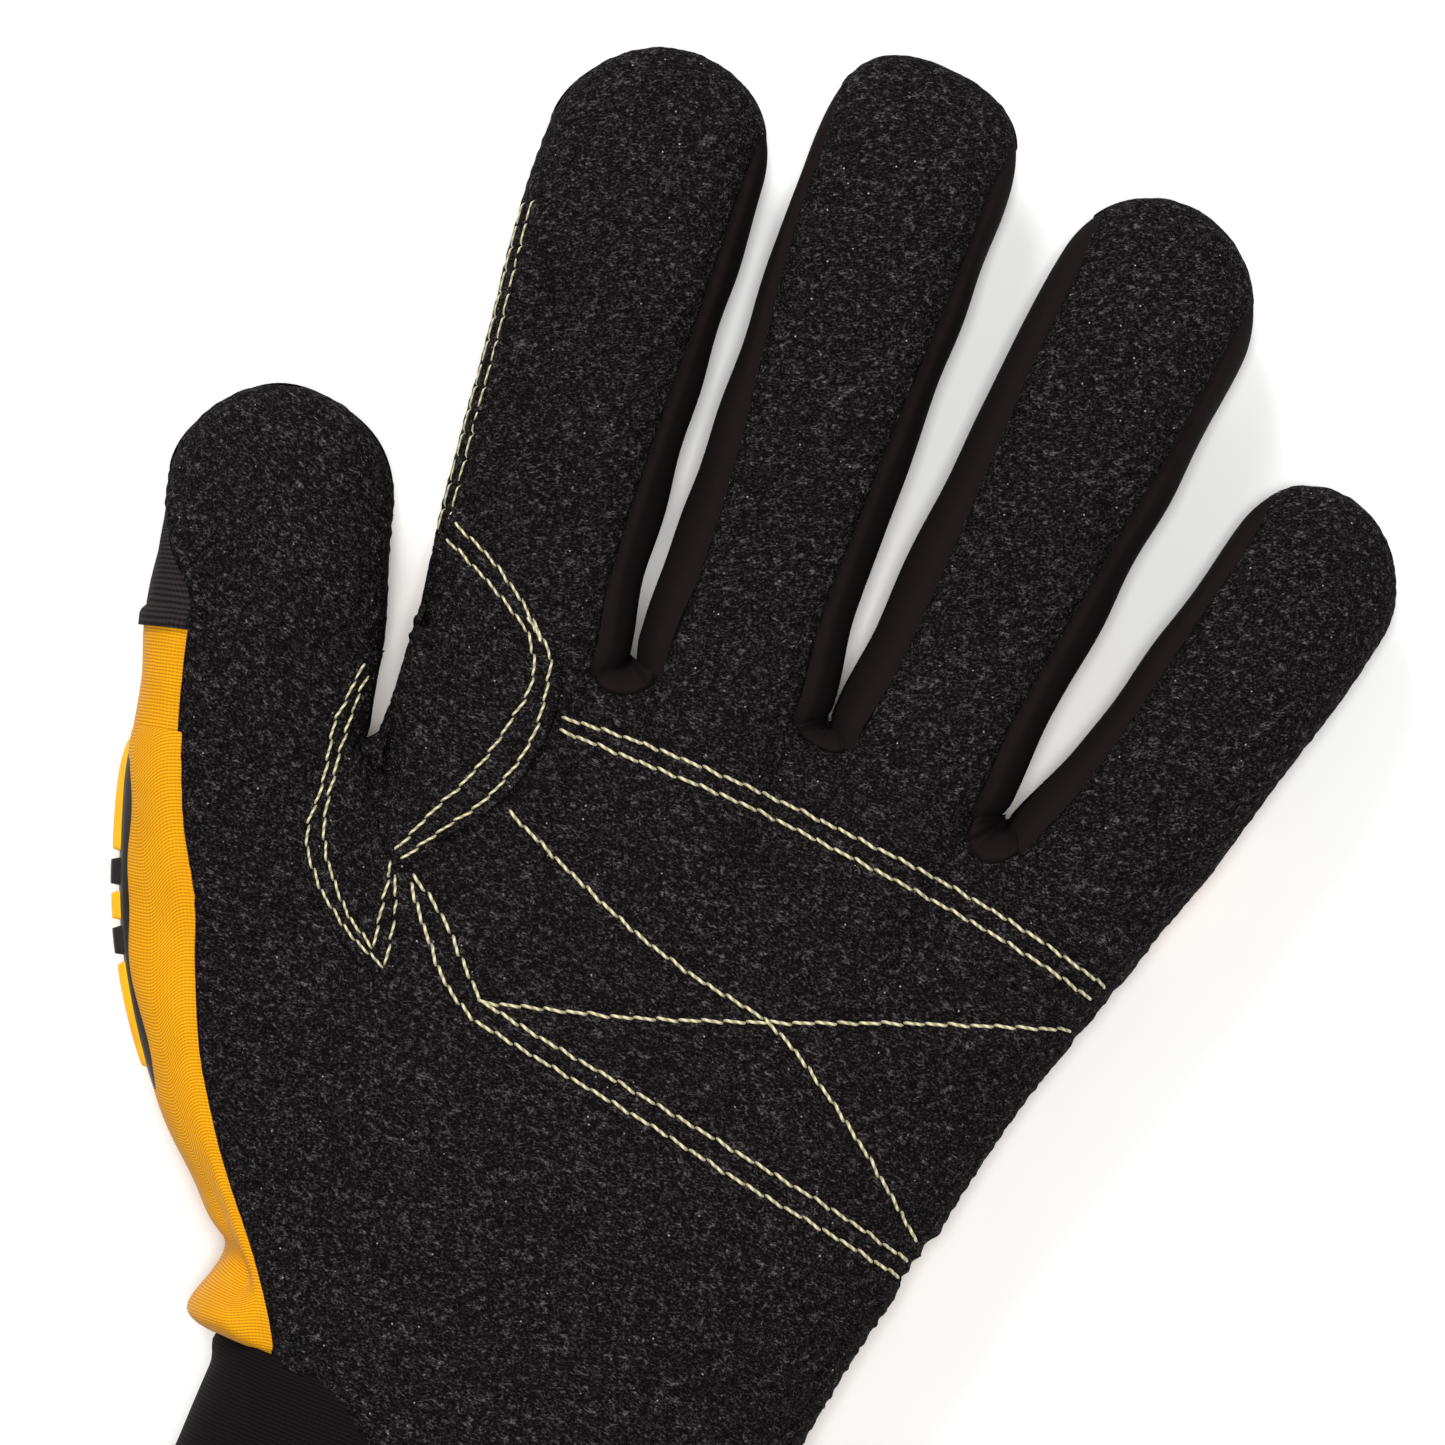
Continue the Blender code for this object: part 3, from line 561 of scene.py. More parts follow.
# %% [markdown]
# ## Finger panels
#
# A glove finger is a front, a back and, between two fingers, a narrow side strip. Each panel is
# made in two pieces that meet between the knuckle and the fold, one over each hinge. The cloth dips
# into a groove at every seam, as sewn cloth does.

# %% Finger panels
CELL, KNIT_CELL = 0.42, 0.8  # mm between grid points of the palm cloth and of the knits
SEGMENTS = ("lower", "upper")
FRONT_SEAM, BACK_SEAM = 0, 1
KNUCKLE_BEND = 0.6  # share of the way to the fold that bend takes as the end of the stretch at the root, unused


def seam(digit, side, which, share):
    """Section angle of a seam, which runs out towards the finger's side near the tip."""
    root, front, back, kept = side
    angle = root + (front - root) * smooth(share, 0.0, 0.2) if which == FRONT_SEAM else back
    return np.radians(angle) * (1.0 - (1.0 - kept) * smooth(share, *digit.run_out))


def finger_shares(digit, segment, cell):
    """Rows of a piece: even up to the split, then ever closer together towards the tip."""
    split = digit.split / digit.straight
    if segment == "lower":
        return np.linspace(0.0, split, int(digit.split / cell) + 1)[:, None]
    rows = int(1.35 * (digit.length - digit.split) / cell)
    return split + (1.0 - split) * np.sin(np.linspace(0.0, np.pi / 2, rows))[:, None]


def finger_grid(digit, segment, low, high, cell):
    """Grid of a panel between two seam angles, which are functions of the share."""
    share = finger_shares(digit, segment, cell)
    columns = int(1.25 * digit.waist * float(high(0.0) - low(0.0)) / cell)
    fine = low(share) + (high(share) - low(share)) * np.linspace(0.0, 1.0, columns)[None, :]
    return finger_surface(digit, fine, np.broadcast_to(share, fine.shape))


def outward_from(digit, points):
    """Direction away from a finger's middle line."""
    ahead = ((points - digit.centre) @ digit.forward)[..., None]
    ahead = np.minimum(ahead, 0.85 * digit.straight)
    core = digit.centre + ahead * digit.forward
    core[..., 2] = FRONT_MID
    return points - core


def from_edge(points):
    """Distance of each point from the nearer side edge of its panel."""
    walked = grid_lengths(points, 1)
    return np.minimum(walked, walked[:, -1:] - walked)


def sewn_in(points, depth, width):
    """Groove along both side edges of a panel, where its seam pulls the cloth in."""
    return -depth * mound(from_edge(points), width)


def before_tip(digit, points):
    """1 along the finger, easing to 0 where its tip begins to close."""
    ahead = (points - digit.centre) @ digit.forward
    return 1.0 - smooth(ahead, 0.80 * digit.length, 0.93 * digit.length)


def side_swell(digit, points):
    """How far the cloth stands out on a finger's sides, from its root to where its tip closes."""
    across = (points - digit.centre) @ digit.across / digit.waist
    ahead = (points - digit.centre) @ digit.forward
    stands = smooth(ahead, 0.0, 14.0) * (1.0 - smooth(ahead, 0.85 * digit.straight, digit.length))
    left, right = digit.swell
    return stands * (left * smooth(-across, 0.5, 1.0) + right * smooth(across, 0.5, 1.0))


def crinkle(points):
    """The coat's creases, flatter low down: ridges 1.5 mm apart along the grain, and lumps."""
    grain = np.array([np.cos(np.radians(GRAIN)), np.sin(np.radians(GRAIN)), 0.0])
    drawn_out = points - 0.6 * (points @ grain)[..., None] * grain
    lies_up = 0.3 + 0.7 * smooth(points[..., 2], 15.0, 25.0)
    return lies_up * (0.15 * ripple(drawn_out, 1.5, 11) + 0.05 * ripple(points, 1.2, 12))


def slack(points):
    """Soft waves of the stretch knit, 12 mm long."""
    return 0.12 * ripple(points, 12.0, 31)


def bend(piece, digit, segment):
    """Bakes a piece's place into its mesh; the ends of the stretch over its hinge are worked out
    but unused.
    """
    if segment == "lower":
        ends = digit.along(0.0), digit.along(KNUCKLE_BEND * digit.fold)
        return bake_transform(piece)
    ends = digit.along(digit.split), digit.along(2.0 * digit.fold - digit.split)
    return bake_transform(piece)


def section_rise(degrees):
    """Height of a finger's section at an angle, as a share of its half depth."""
    return dome(np.cos(np.radians(degrees)) ** (2.0 / FINGER_POWER), FINGER_POWER)


print("strip seam at", round(float(section_rise(STRIP_SIDE[1])), 2), "of the half depth")

# %% Fronts
FRONTS = {}
for digit in DIGITS:
    look = THUMB_CLOTH if digit is THUMB else FINGER_CLOTH
    for segment in SEGMENTS:
        grid = finger_grid(
            digit, segment,
            lambda share: seam(digit, digit.right, FRONT_SEAM, share),
            lambda share: np.pi - seam(digit, digit.left, FRONT_SEAM, share),
            CELL,
        )
        outward = outward_from(digit, grid)
        height = crinkle(grid) * smooth(from_edge(grid), 0.0, 2.0) + side_swell(digit, grid)
        groove = sewn_in(grid, 0.8, 0.9) * before_tip(digit, grid)
        grid = raise_by(grid, outward, height + groove)
        name = f"{digit.name}_front_cloth_{segment}"
        piece = make_piece(name, grid, outward, look)
        FRONTS[digit.name, segment] = bend(piece, digit, segment)
        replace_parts(piece, f"{digit.name}_front_{segment}")
quad_count = sum(len(piece.data.polygons) for piece in FRONTS.values())
print("fronts:", len(FRONTS), "pieces,", quad_count, "quads")

# %% [markdown]
# The side strips are plain jersey, so their grid is coarser and their surface only swells a
# little between the two seams. Near the roots two strips press against each other.

# %% Side strips
SQUEEZE = 0.55  # how far a strip bulges towards the next finger at its root, in mm
TUCK = np.radians(3.0)  # how far a strip runs on under its neighbours
# Of each side: its middle angle on the section, the angles' sign, and its seams in turning order.
SIDES = {
    "right": (0.0, 1.0, (BACK_SEAM, FRONT_SEAM)), "left": (np.pi, -1.0, (FRONT_SEAM, BACK_SEAM)),
}
for digit in FINGERS:
    for side_name, (turn, sign, (first, last)) in SIDES.items():
        side = getattr(digit, side_name)
        if side is WRAP_SIDE:
            continue
        for segment in SEGMENTS:
            grid = finger_grid(
                digit, segment,
                lambda share: turn + sign * seam(digit, side, first, share) - TUCK,
                lambda share: turn + sign * seam(digit, side, last, share) + TUCK,
                KNIT_CELL,
            )
            outward = outward_from(digit, grid)
            ahead = (grid - digit.centre) @ digit.forward
            swell = 0.2 + SQUEEZE * (1.0 - smooth(ahead, 6.0, 16.0)) + 0.1 * ripple(grid, 14.0, 21)
            body = before_tip(digit, grid)
            height = (swell * smooth(ahead, 0.0, 4.0) + sewn_in(grid, 1.0, 0.9)) * body
            height = height - 0.15 * (1.0 - body)
            grid = raise_by(grid, outward, height + side_swell(digit, grid))
            strip = f"{digit.name}_{side_name}_strip"
            name = f"{strip}_jersey_{segment}"
            piece = make_piece(name, grid, outward, STRIP_JERSEY)
            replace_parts(bend(piece, digit, segment), f"{strip}_{segment}")
print("strips done")

# %% [markdown]
# The backs are yellow knit up to the split and black rib over the fingertip. The rib's end is
# folded into a welt, which is seen as a small step on the thumb.

# %% Backs
WELT_HEIGHT, WELT_WIDTH = 0.7, 2.2  # of the folded edge, in mm
BACK_LOOKS = {
    "lower": (YELLOW_KNIT, "yellow_stretch_knit"), "upper": (RIB_KNIT, "black_ribbed_knit"),
}
for digit in DIGITS:
    for segment, (look, slot) in BACK_LOOKS.items():
        grid = finger_grid(
            digit, segment,
            lambda share: np.pi - seam(digit, digit.left, BACK_SEAM, share),
            lambda share: 2.0 * np.pi + seam(digit, digit.right, BACK_SEAM, share),
            KNIT_CELL,
        )
        outward = outward_from(digit, grid)
        height = slack(grid) + side_swell(digit, grid)
        height = height + sewn_in(grid, 0.8, 1.0) * before_tip(digit, grid)
        if segment == "upper":
            past_welt = smooth(grid_lengths(grid, 0), WELT_WIDTH - 0.4, WELT_WIDTH + 0.4)
            height += WELT_HEIGHT * (1.0 - past_welt)
        grid = raise_by(grid, outward, height)
        piece = make_piece(f"{digit.name}_back_knit_{segment}", grid, outward, look)
        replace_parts(bend(piece, digit, segment), f"{digit.name}_back_{segment}")
print("backs done")

# %% [markdown]
# ## The form of the hand
#
# The hand is ruled between the wrist seam and the line of the finger roots. Across it, a lap of 0
# is the little finger's side, 0 to 1 crosses the palm to the thumb's side, and 1 to 2 comes back
# underneath. Towards the roots the section changes from one rounded box to a row of five.

# %% The hand's surface
WRIST = np.array([2.3, -82.0])
WRIST_HALF_WIDTH, MOUTH_HALF_WIDTH = 35.5, 40.0
WRIST_DEPTH, MOUTH_DEPTH = 43.0, 47.0
CUFF_LENGTH = 64.0
HAND_POWER = 2.8
THENAR_BULGE, EDGE_HOLLOW = 6.4, 2.5
THUMB_WEB_GAP = 2.6
PALM_WRAP = 0.03
WEB_HEIGHT = 0.75  # of the knuckles' half depth, between two finger roots
CUFF_UNIT = 100.0  # mm of the cuff to a unit of the share below the wrist
ROOTS = np.array([digit.edge(side) for digit in DIGITS for side in (-1.0, 1.0)])
ROOTS = np.insert(ROOTS, 2, ROOTS[1] + (THUMB_WEB_GAP, 0.0), axis=0)
KNOTS = lengths_along(ROOTS) / lengths_along(ROOTS)[-1]


def root_height(share):
    """Row of five rounded sections over the finger roots, never below the webs between them."""
    height = np.full_like(share, WEB_HEIGHT)
    for number in range(5):
        first = 2 * number + (number > 0)
        low, high = KNOTS[first], KNOTS[first + 1]
        across = 2.0 * (share - low) / (high - low) - 1.0
        section = dome(across, FINGER_POWER)
        outer = (number == 0) & (across < 0) | (number == 4) & (across > 0)
        section = np.where(outer, section, np.maximum(height, section))
        height = np.where(np.abs(across) <= 1.0, section, height)
    return height


def hand_surface(lap, along):
    """Point of the hand from its lap and its share of the way from wrist to roots.

    Below 0 the share goes on over the cuff.
    """
    lap = np.mod(lap, 2.0)
    share = np.where(lap <= 1.0, 1.0 - lap, lap - 1.0)
    up, below = np.maximum(along, 0.0), -CUFF_UNIT * np.minimum(along, 0.0)
    half = WRIST_HALF_WIDTH + (MOUTH_HALF_WIDTH - WRIST_HALF_WIDTH) * below / CUFF_LENGTH
    wrist_x, wrist_y = WRIST[0] + (2.0 * share - 1.0) * half, WRIST[1] - below
    x = wrist_x + (np.interp(share, KNOTS, ROOTS[:, 0]) - wrist_x) * up
    y = wrist_y + (np.interp(share, KNOTS, ROOTS[:, 1]) - wrist_y) * up
    x = x - THENAR_BULGE * np.sin(np.pi * up**1.4) * (1.0 - share) ** 3
    x = x - EDGE_HOLLOW * np.sin(np.pi * up) * share**3
    x = x - thumb_root_swell(x, y)
    floor = BACK_CLEARANCE * smooth(along, 0.0, 0.6)
    knuckles = BACK_CLEARANCE + KNUCKLE_DEPTH
    ceiling = WRIST_DEPTH + (knuckles - WRIST_DEPTH) * smooth(along, -0.2, 1.0)
    ceiling = ceiling + (MOUTH_DEPTH - WRIST_DEPTH) * below / CUFF_LENGTH
    round_hand = dome(2.0 * share - 1.0, HAND_POWER)
    height = round_hand + (root_height(share) - round_hand) * smooth(along, 0.55, 1.0)
    z = (ceiling + floor) / 2 + np.where(lap <= 1.0, 0.5, -0.5) * (ceiling - floor) * height
    return np.stack(np.broadcast_arrays(x, y, z), -1)


def lap_table():
    """Distance walked round the hand's section, 100 mm wide and 26 mm deep, against the lap."""
    turn = np.linspace(-np.pi / 2, 2.0 * np.pi, 6001)
    across, rise = (signed_power(wave(turn), 2.0 / HAND_POWER) for wave in (np.cos, np.sin))
    lap = np.where(turn < np.pi, np.sign(turn) * (1.0 - across) / 2, 1.0 + (1.0 + across) / 2)
    return lap, lengths_along(np.c_[50.0 * across, 13.0 * rise])


LAPS, WALKED = lap_table()


def laps_between(first, last, count, lead=0.0):
    """Laps in even steps round the section; lead is how many mm earlier they start."""
    start, end = np.interp(first, LAPS, WALKED) - lead, np.interp(last, LAPS, WALKED)
    return np.interp(start + (end - start) * np.linspace(0.0, 1.0, count)[None, :], WALKED, LAPS)


print("the hand is", round(float(np.ptp(ROOTS[:, 0])), 1), "mm across its finger roots")

# %% [markdown]
# ## Lines sewn on the palm
#
# Every row of stitches is a short list of plan points in mm, read along the thread. The cloth dips
# along them, because the thread pulls it onto the foam behind.

# %% Stitch lines
UPPER_ROWS = (
    [(-18.7, 5.4), (-8.3, 5.8), (5.2, 5.3), (18.9, 4.1), (32.9, 2.4), (45.7, 0.0), (57.0, -3.0)],
    [(-18.4, 3.8), (-7.4, 3.5), (6.0, 3.0), (19.9, 1.5), (33.9, -0.4), (46.7, -2.7),
     (55.9, -5.1)],
)
LOWER_ROWS = (
    [(-29.5, -19.3), (-24.5, -22.6), (-20.0, -27.1), (-15.8, -31.3)],
    [(-15.8, -31.3), (-4.6, -33.5), (6.7, -35.4), (21.0, -38.1), (33.9, -40.7), (45.4, -43.7)],
    [(-29.3, -20.4), (-25.0, -25.9), (-20.5, -30.9), (-15.8, -33.8)],
    [(-15.8, -33.8), (-3.7, -36.1), (7.7, -38.2), (22.2, -41.3), (35.0, -43.7), (45.2, -46.0)],
)
CROSS_ROWS = (
    [(-20.9, -7.8), (-11.0, -12.4), (0.0, -16.9), (8.9, -19.5), (19.0, -21.7), (27.5, -26.7),
     (36.6, -33.4), (45.7, -41.1)],
    [(-16.3, -31.5), (-6.2, -29.0), (3.5, -26.5), (18.9, -21.5), (34.3, -16.1), (46.2, -12.2),
     (54.8, -9.6)],
)
QUILTING = (*UPPER_ROWS, *LOWER_ROWS, *CROSS_ROWS)
PALM_ROWS = [curve_through(row, 24) for row in QUILTING]
CREASE = curve_through([(-39.0, -4.0), (-37.6, -9.0), (-35.2, -13.6), (-32.4, -18.2)], 12)
print("palm rows:", round(sum(float(lengths_along(row)[-1]) for row in PALM_ROWS)), "mm of thread")

# %% [markdown]
# ## Palm panel
#
# The palm is one panel that runs on into the finger fronts, wraps under the little finger's side
# and ends in a rounded tongue over the cuff. It is cut away at the three finger crotches,
# where the rolled webs come through. Its height is the hand's form plus the crinkle, the
# quilting dips, the fold at the thumb's web and the grooves of its seams.

# %% Finger crotches
WEB_REACHES = (2.6, 1.4, 4.0)  # how far the rolled webs reach into the palm, in mm
FAR = 9.0  # stands for any place away from a web


def web_frame(left, right):
    """Middle, half width and directions of a finger crotch, between the two strip seams."""
    inset = np.cos(np.radians(STRIP_SIDE[0])) ** (2.0 / FINGER_POWER)
    start, end = left.edge(inset), right.edge(-inset)
    out = (end - start) / np.linalg.norm(end - start)
    return (start + end) / 2, np.linalg.norm(end - start) / 2, out, np.array([-out[1], out[0]])


WEBS = {
    f"{left.name}_{right.name}": (*web_frame(left, right), reach)
    for left, right, reach in zip(FINGERS, FINGERS[1:], WEB_REACHES)
}


def web_distance(points):
    """Distance from each crotch, 1 on the rolled web's rim."""
    nearest = np.full(points.shape[:-1], FAR)
    for middle, half, out, forward, reach in WEBS.values():
        gap = points[..., :2] - middle
        across, back = gap @ out / half, gap @ -forward / reach
        distance = np.hypot(across, np.maximum(back, 0.0))
        nearest = np.minimum(nearest, np.where(back > -0.6, distance, FAR))
    return nearest


print("crotches:", list(WEBS))

# %% Palm panel
UP = np.array([0.0, 0.0, 1.0])
PALM_ROW_COUNT, PALM_COLUMN_COUNT = 270, 300
HEM_CENTRE, HEM_HALF_WIDTH, HEM_DROP = 8.0, 33.0, 15.0
TONGUE_LIFT = 2.2  # how far the tongue stands off the cuff, in mm
QUILT_PUFF, QUILT_DIP = (0.35, 6.0), (0.75, 1.3)  # heights and widths beside and along a row
WEB_DIVE = 1.6  # how far the palm's edge dips under a rolled web
FOLD_DEPTH, FOLD_WIDTH = 3.2, 2.4  # of the crease at the thumb's web


def palm_seam(along):
    """Share of the width from the thumb's side to the palm's seam.

    It narrows from the wrist to the roots, with a little more at the wrist and at the guard.
    """
    along = np.clip(along, 0.0, 1.0)
    wrist, guard = 0.035 * (1.0 - smooth(along, 0.0, 0.35)), 0.017 * mound(along - 0.68, 0.17)
    return 0.075 - 0.044 * along + wrist + guard


step = np.linspace(0.0, 1.0, PALM_ROW_COUNT)[:, None]
lap = laps_between(-PALM_WRAP, 1.0 - palm_seam(step), PALM_COLUMN_COUNT)
reach = (WRIST[0] + (1.0 - 2.0 * lap) * WRIST_HALF_WIDTH - HEM_CENTRE) / HEM_HALF_WIDTH
tongue = np.clip(1.0 - reach**2, 0.0, 1.0)
hem = -HEM_DROP * tongue**3 * (lap > 0.0) / CUFF_UNIT
along = hem + (1.0 - hem) * step
palm = hand_surface(lap, along)
palm[..., 2] += TONGUE_LIFT * tongue * (1.0 - smooth(along, 0.0, 0.15)) * (lap > 0.0)
near_row = np.min([distance_to(row, palm) for row in PALM_ROWS], axis=0)
walked = grid_lengths(palm, 1)
to_seam = walked[:, -1:] - walked
height = crinkle(palm) * smooth(to_seam, 0.0, 2.5)
height += QUILT_PUFF[0] * mound(near_row, QUILT_PUFF[1])
height -= QUILT_DIP[0] * mound(near_row, QUILT_DIP[1])
height -= 0.9 * mound(to_seam, 1.0)
height += 0.9 * smooth(PALM_WRAP - lap, 0.0, PALM_WRAP) * (1.0 - smooth(along, 0.5, 0.8))
height -= 1.0 * mound(grid_lengths(palm, 0), 0.8) * (hem < -0.002)
height -= WEB_DIVE * (1.0 - smooth(web_distance(palm), 0.8, 1.02))
palm = raise_by(palm, UP, height)
from_fold = np.linalg.norm(palm[..., :2] - CREASE[0], axis=-1)
fold_depth = FOLD_DEPTH * (1.0 - smooth(from_fold, 3.0, 17.0))
palm[..., 2] -= fold_depth * mound(distance_to(CREASE, palm), FOLD_WIDTH)
middles = (palm[:-1, :-1] + palm[1:, 1:]) / 2
PALM = make_piece(
    "palm_cloth", palm, UP, PALM_CLOTH, keep=web_distance(middles) > 0.75
)
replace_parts(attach(PALM, "hand"), "palm_panel")
print("palm:", len(PALM.data.polygons), "quads")

# %% [markdown]
# ## Rolled webs
#
# Between two fingers the side strips run on round the crotch as one rolled band. Seen from above it
# is a small horseshoe: its rim lies on the palm, and its surface rolls down into the gap.

# %% Rolled webs
WEB_DEPTH = 7.0  # how far a web goes down below the fingers' middle, in mm
turn = np.linspace(np.pi, 0.0, 41)[:, None]
inward = np.linspace(1.0, 0.0, 17)[None, :]
roll = np.sqrt(np.clip(1.0 - (1.0 - inward) ** 2.2, 0.0, 1.0))
low = FRONT_MID - WEB_DEPTH
seam_height = FRONT_MID + KNUCKLE_DEPTH / 2 * section_rise(STRIP_SIDE[0])
for name, (middle, half, out, forward, reach) in WEBS.items():
    rim = middle + half * np.cos(turn) * out - reach * np.sin(turn) * forward
    slot_end = middle + 0.3 * np.cos(turn) * out + (3.0 - 0.6 * np.sin(turn)) * forward
    plan = slot_end[:, None, :] + (rim - slot_end)[:, None, :] * inward[..., None]
    rim_height = drop(middle + 1.15 * (rim - middle), [PALM])
    rim_height = np.maximum(rim_height, seam_height - 0.5)[:, None]
    z = low + (rim_height + 0.2 - low) * roll - 1.0 * smooth(inward, 0.9, 1.0)
    grid = np.concatenate([plan, z[..., None]], -1)
    piece = make_piece(f"web_roll_{name}", grid, UP, STRIP_JERSEY)
    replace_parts(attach(piece, "hand"), f"web_{name}")
print("webs:", list(WEBS))

# %% [markdown]
# ## Knit back
#
# The yellow knit starts at the palm's seam, shows as a strip beside the thumb and closes the back
# of the hand. The cuff's seam gathers it, so it puffs out just above the wrist.

# %% Knit back
HAND_CORE = np.array([2.0, -35.0, 17.0])
SEAM_LAP = 0.6  # how far the knit runs on under the palm's edge, in mm
GATHERS = ((3.1, 3.2, 2.5), (-2.0, 13.0, 7.0), (-2.2, 8.8, 2.6))  # height, place and width, in mm
along = np.linspace(0.0, 1.0, 130)[:, None]
lap = laps_between(1.0 - palm_seam(along), 2.0 - PALM_WRAP, 190, SEAM_LAP)
back = hand_surface(lap, np.broadcast_to(along, lap.shape))
outward = (back - HAND_CORE) * (1.0, 0.0, 1.0)
ahead = back[..., 1] - WRIST[1]
gather = sum(height * mound(ahead - place, width) for height, place, width in GATHERS)
off_table = smooth(back[..., 2], 2.0, 10.0)
height = gather * off_table * smooth(from_edge(back), 0.0, 5.0) + slack(back)
height = height + sewn_in(back, 0.8, 1.0) - 1.6 * mound(ahead, 0.8)
height = np.minimum(height, 1.5 + 9.0 * off_table)
back = raise_by(back, outward, height)
back[..., 2] = np.maximum(back[..., 2], 0.25)
HAND_BACK = make_piece("hand_back_knit", back, outward, YELLOW_KNIT)
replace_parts(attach(HAND_BACK, "hand"), "back_panel")
print("back:", len(HAND_BACK.data.polygons), "quads")

# %% [markdown]
# ## Saddle patch
#
# A patch of palm cloth folds over the web between thumb and index finger, where gloves wear
# through first. It has two lobes that meet in the fold, and a wall that closes the web's side. Each
# lobe is a grid between two plan curves, laid on the cloth below by dropping it straight down.

# %% Saddle wall
WALL_SHARES = (0.0, 0.13, 0.5, 1.0)  # from the thumb round the web's end to the index finger
WALL_LINE = np.array([(-41.2, -5.8), (-39.6, -4.0), (-39.5, 2.0), (-40.1, 10.4)])
across = np.linspace(0.0, 1.12, 56)[None, :]
inside = np.minimum(across, 1.0)
share = KNOTS[1] + (KNOTS[3] - KNOTS[1]) * inside
top, bottom = (hand_surface(lap, np.ones_like(lap)) for lap in (1.0 - share, 1.0 + share))
bulge = [np.interp(inside, WALL_SHARES, line) for line in WALL_LINE.T]
bulge = np.stack(bulge + [0.0 * inside], -1)
bulge[..., :2] -= top[..., :2]
fall = np.linspace(0.0, 1.0, 48)[:, None] ** 1.3
wall = top + (bottom - top) * fall[..., None] + bulge * dome(2.0 * fall - 1.0, 3.0)[..., None]
wall = wall + (across - inside)[..., None] * (0.0, 18.0, 0.0)
sideways = np.array([-1.0, 0.3, 0.0])
wall = raise_by(wall, sideways, crinkle(wall))
WALL = make_piece("saddle_wall_cloth", wall, sideways, THUMB_CLOTH)
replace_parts(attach(WALL, "hand"), "saddle_patch")
print("web wall between thumb and index finger:", len(WALL.data.polygons), "quads")

# %% Saddle lobes
LOBES = {
    "index": (
        [(-40.7, 24.2), (-40.1, 18.0), (-39.1, 10.5), (-38.8, 4.0), (-38.3, -3.0), (-37.2, -8.0),
         (-35.4, -12.4), (-31.8, -18.8)],
        [(-40.2, 24.9), (-34.4, 22.2), (-25.2, 15.9), (-21.7, 13.0), (-19.9, 8.9), (-19.3, 3.5),
         (-20.4, -3.1), (-23.1, -8.9), (-27.4, -14.3), (-31.2, -19.3)],
    ),
    "thumb": (
        [(-43.6, 5.6), (-42.4, -1.2), (-41.1, -6.4), (-38.9, -10.2), (-36.2, -14.2),
         (-33.0, -18.8), (-30.0, -24.4), (-27.2, -30.0)],
        [(-44.3, 4.8), (-45.6, -1.0), (-45.9, -7.0), (-45.0, -13.4), (-44.4, -20.2),
         (-41.6, -24.6), (-37.3, -28.6), (-32.0, -31.9), (-27.8, -32.2)],
    ),
}
LOBE_ROWS = {
    "index": (
        [(-39.6, 23.6), (-35.8, 22.1), (-30.9, 19.3), (-27.6, 16.8), (-25.0, 14.6), (-22.9, 12.6),
         (-21.9, 10.2), (-21.3, 6.2), (-21.1, 1.8), (-22.0, -2.3), (-23.4, -6.3), (-25.5, -9.8),
         (-28.3, -13.6), (-31.3, -18.2)],
        [(-39.9, 21.4), (-36.3, 19.9), (-32.0, 17.6), (-27.6, 15.0), (-25.5, 13.0), (-23.9, 10.1),
         (-23.6, 6.8), (-24.6, 1.9), (-25.9, -3.0), (-27.6, -7.1), (-29.8, -11.4), (-31.4, -15.0),
         (-32.4, -17.4)],
        [(-27.0, 15.6), (-25.6, 14.9), (-24.2, 13.4)],  # the row's end, sewn over twice
    ),
    "thumb": (
        [(-44.2, 3.4), (-44.7, -1.0), (-45.0, -5.5), (-44.3, -9.6), (-43.8, -13.6),
         (-43.9, -16.5), (-43.1, -20.4), (-41.0, -23.4), (-38.2, -26.2), (-34.6, -28.7),
         (-31.2, -30.4), (-28.6, -31.3)],
        [(-43.4, 2.0), (-43.5, -3.2), (-43.2, -8.3), (-42.6, -13.9), (-41.8, -17.8),
         (-40.4, -20.7), (-37.5, -24.5), (-34.3, -27.5), (-30.7, -29.6)],
        [(-30.7, -29.6), (-31.4, -25.1), (-32.0, -20.9), (-32.6, -18.6)],
        [(-28.6, -31.3), (-29.2, -27.0), (-30.4, -22.7), (-31.5, -20.0)],
    ),
}
LIP_OUT, LIP_DOWN = np.array([0.9, 0.8, 0.5]), np.array([3.5, 1.6, 0.5])  # mm, outer row first
PATCH = {}
for name, digit, over in (("index", INDEX, -1.0), ("thumb", THUMB, 1.0)):
    near, far = (curve_through(line, 110) for line in LOBES[name])
    spread = np.linspace(0.0, 1.0, 44)[None, :, None]
    plan = near[:, None, :] + (far - near)[:, None, :] * spread
    z = drop(plan, [PALM, FRONTS[name, "lower"], WALL])
    grid = np.concatenate([plan, z[..., None]], -1)
    rows = [curve_through(row, 30) for row in LOBE_ROWS[name]]
    near_row = np.min([distance_to(row, grid) for row in rows], axis=0)
    walked = grid_lengths(grid, 1)
    thick = 1.1 + 0.08 * ripple(grid, 1.6, 51) - 0.4 * mound(near_row, 0.7)
    thick -= 0.5 * mound(walked[:, -1:] - walked, 0.4)
    grid[..., 2] += thick
    lip = (smooth(near[:, 1], -9.0, -3.0) * (1.0 - smooth(near[:, 1], 18.0, 24.0)))[:, None]
    edge = np.repeat(grid[:, :1], 3, axis=1)
    edge[..., 0] += LIP_OUT * lip * over
    edge[..., 2] -= LIP_DOWN * (0.3 + 0.7 * lip)
    grid = np.concatenate([edge, grid], 1)
    look = PALM_CLOTH if name == "index" else THUMB_CLOTH
    piece = make_piece(f"saddle_lobe_{name}", grid, UP, look)
    PATCH[name] = thicken(bend(piece, digit, "lower"), 0.9)
print("lobes:", [len(piece.data.polygons) for piece in PATCH.values()], "quads")

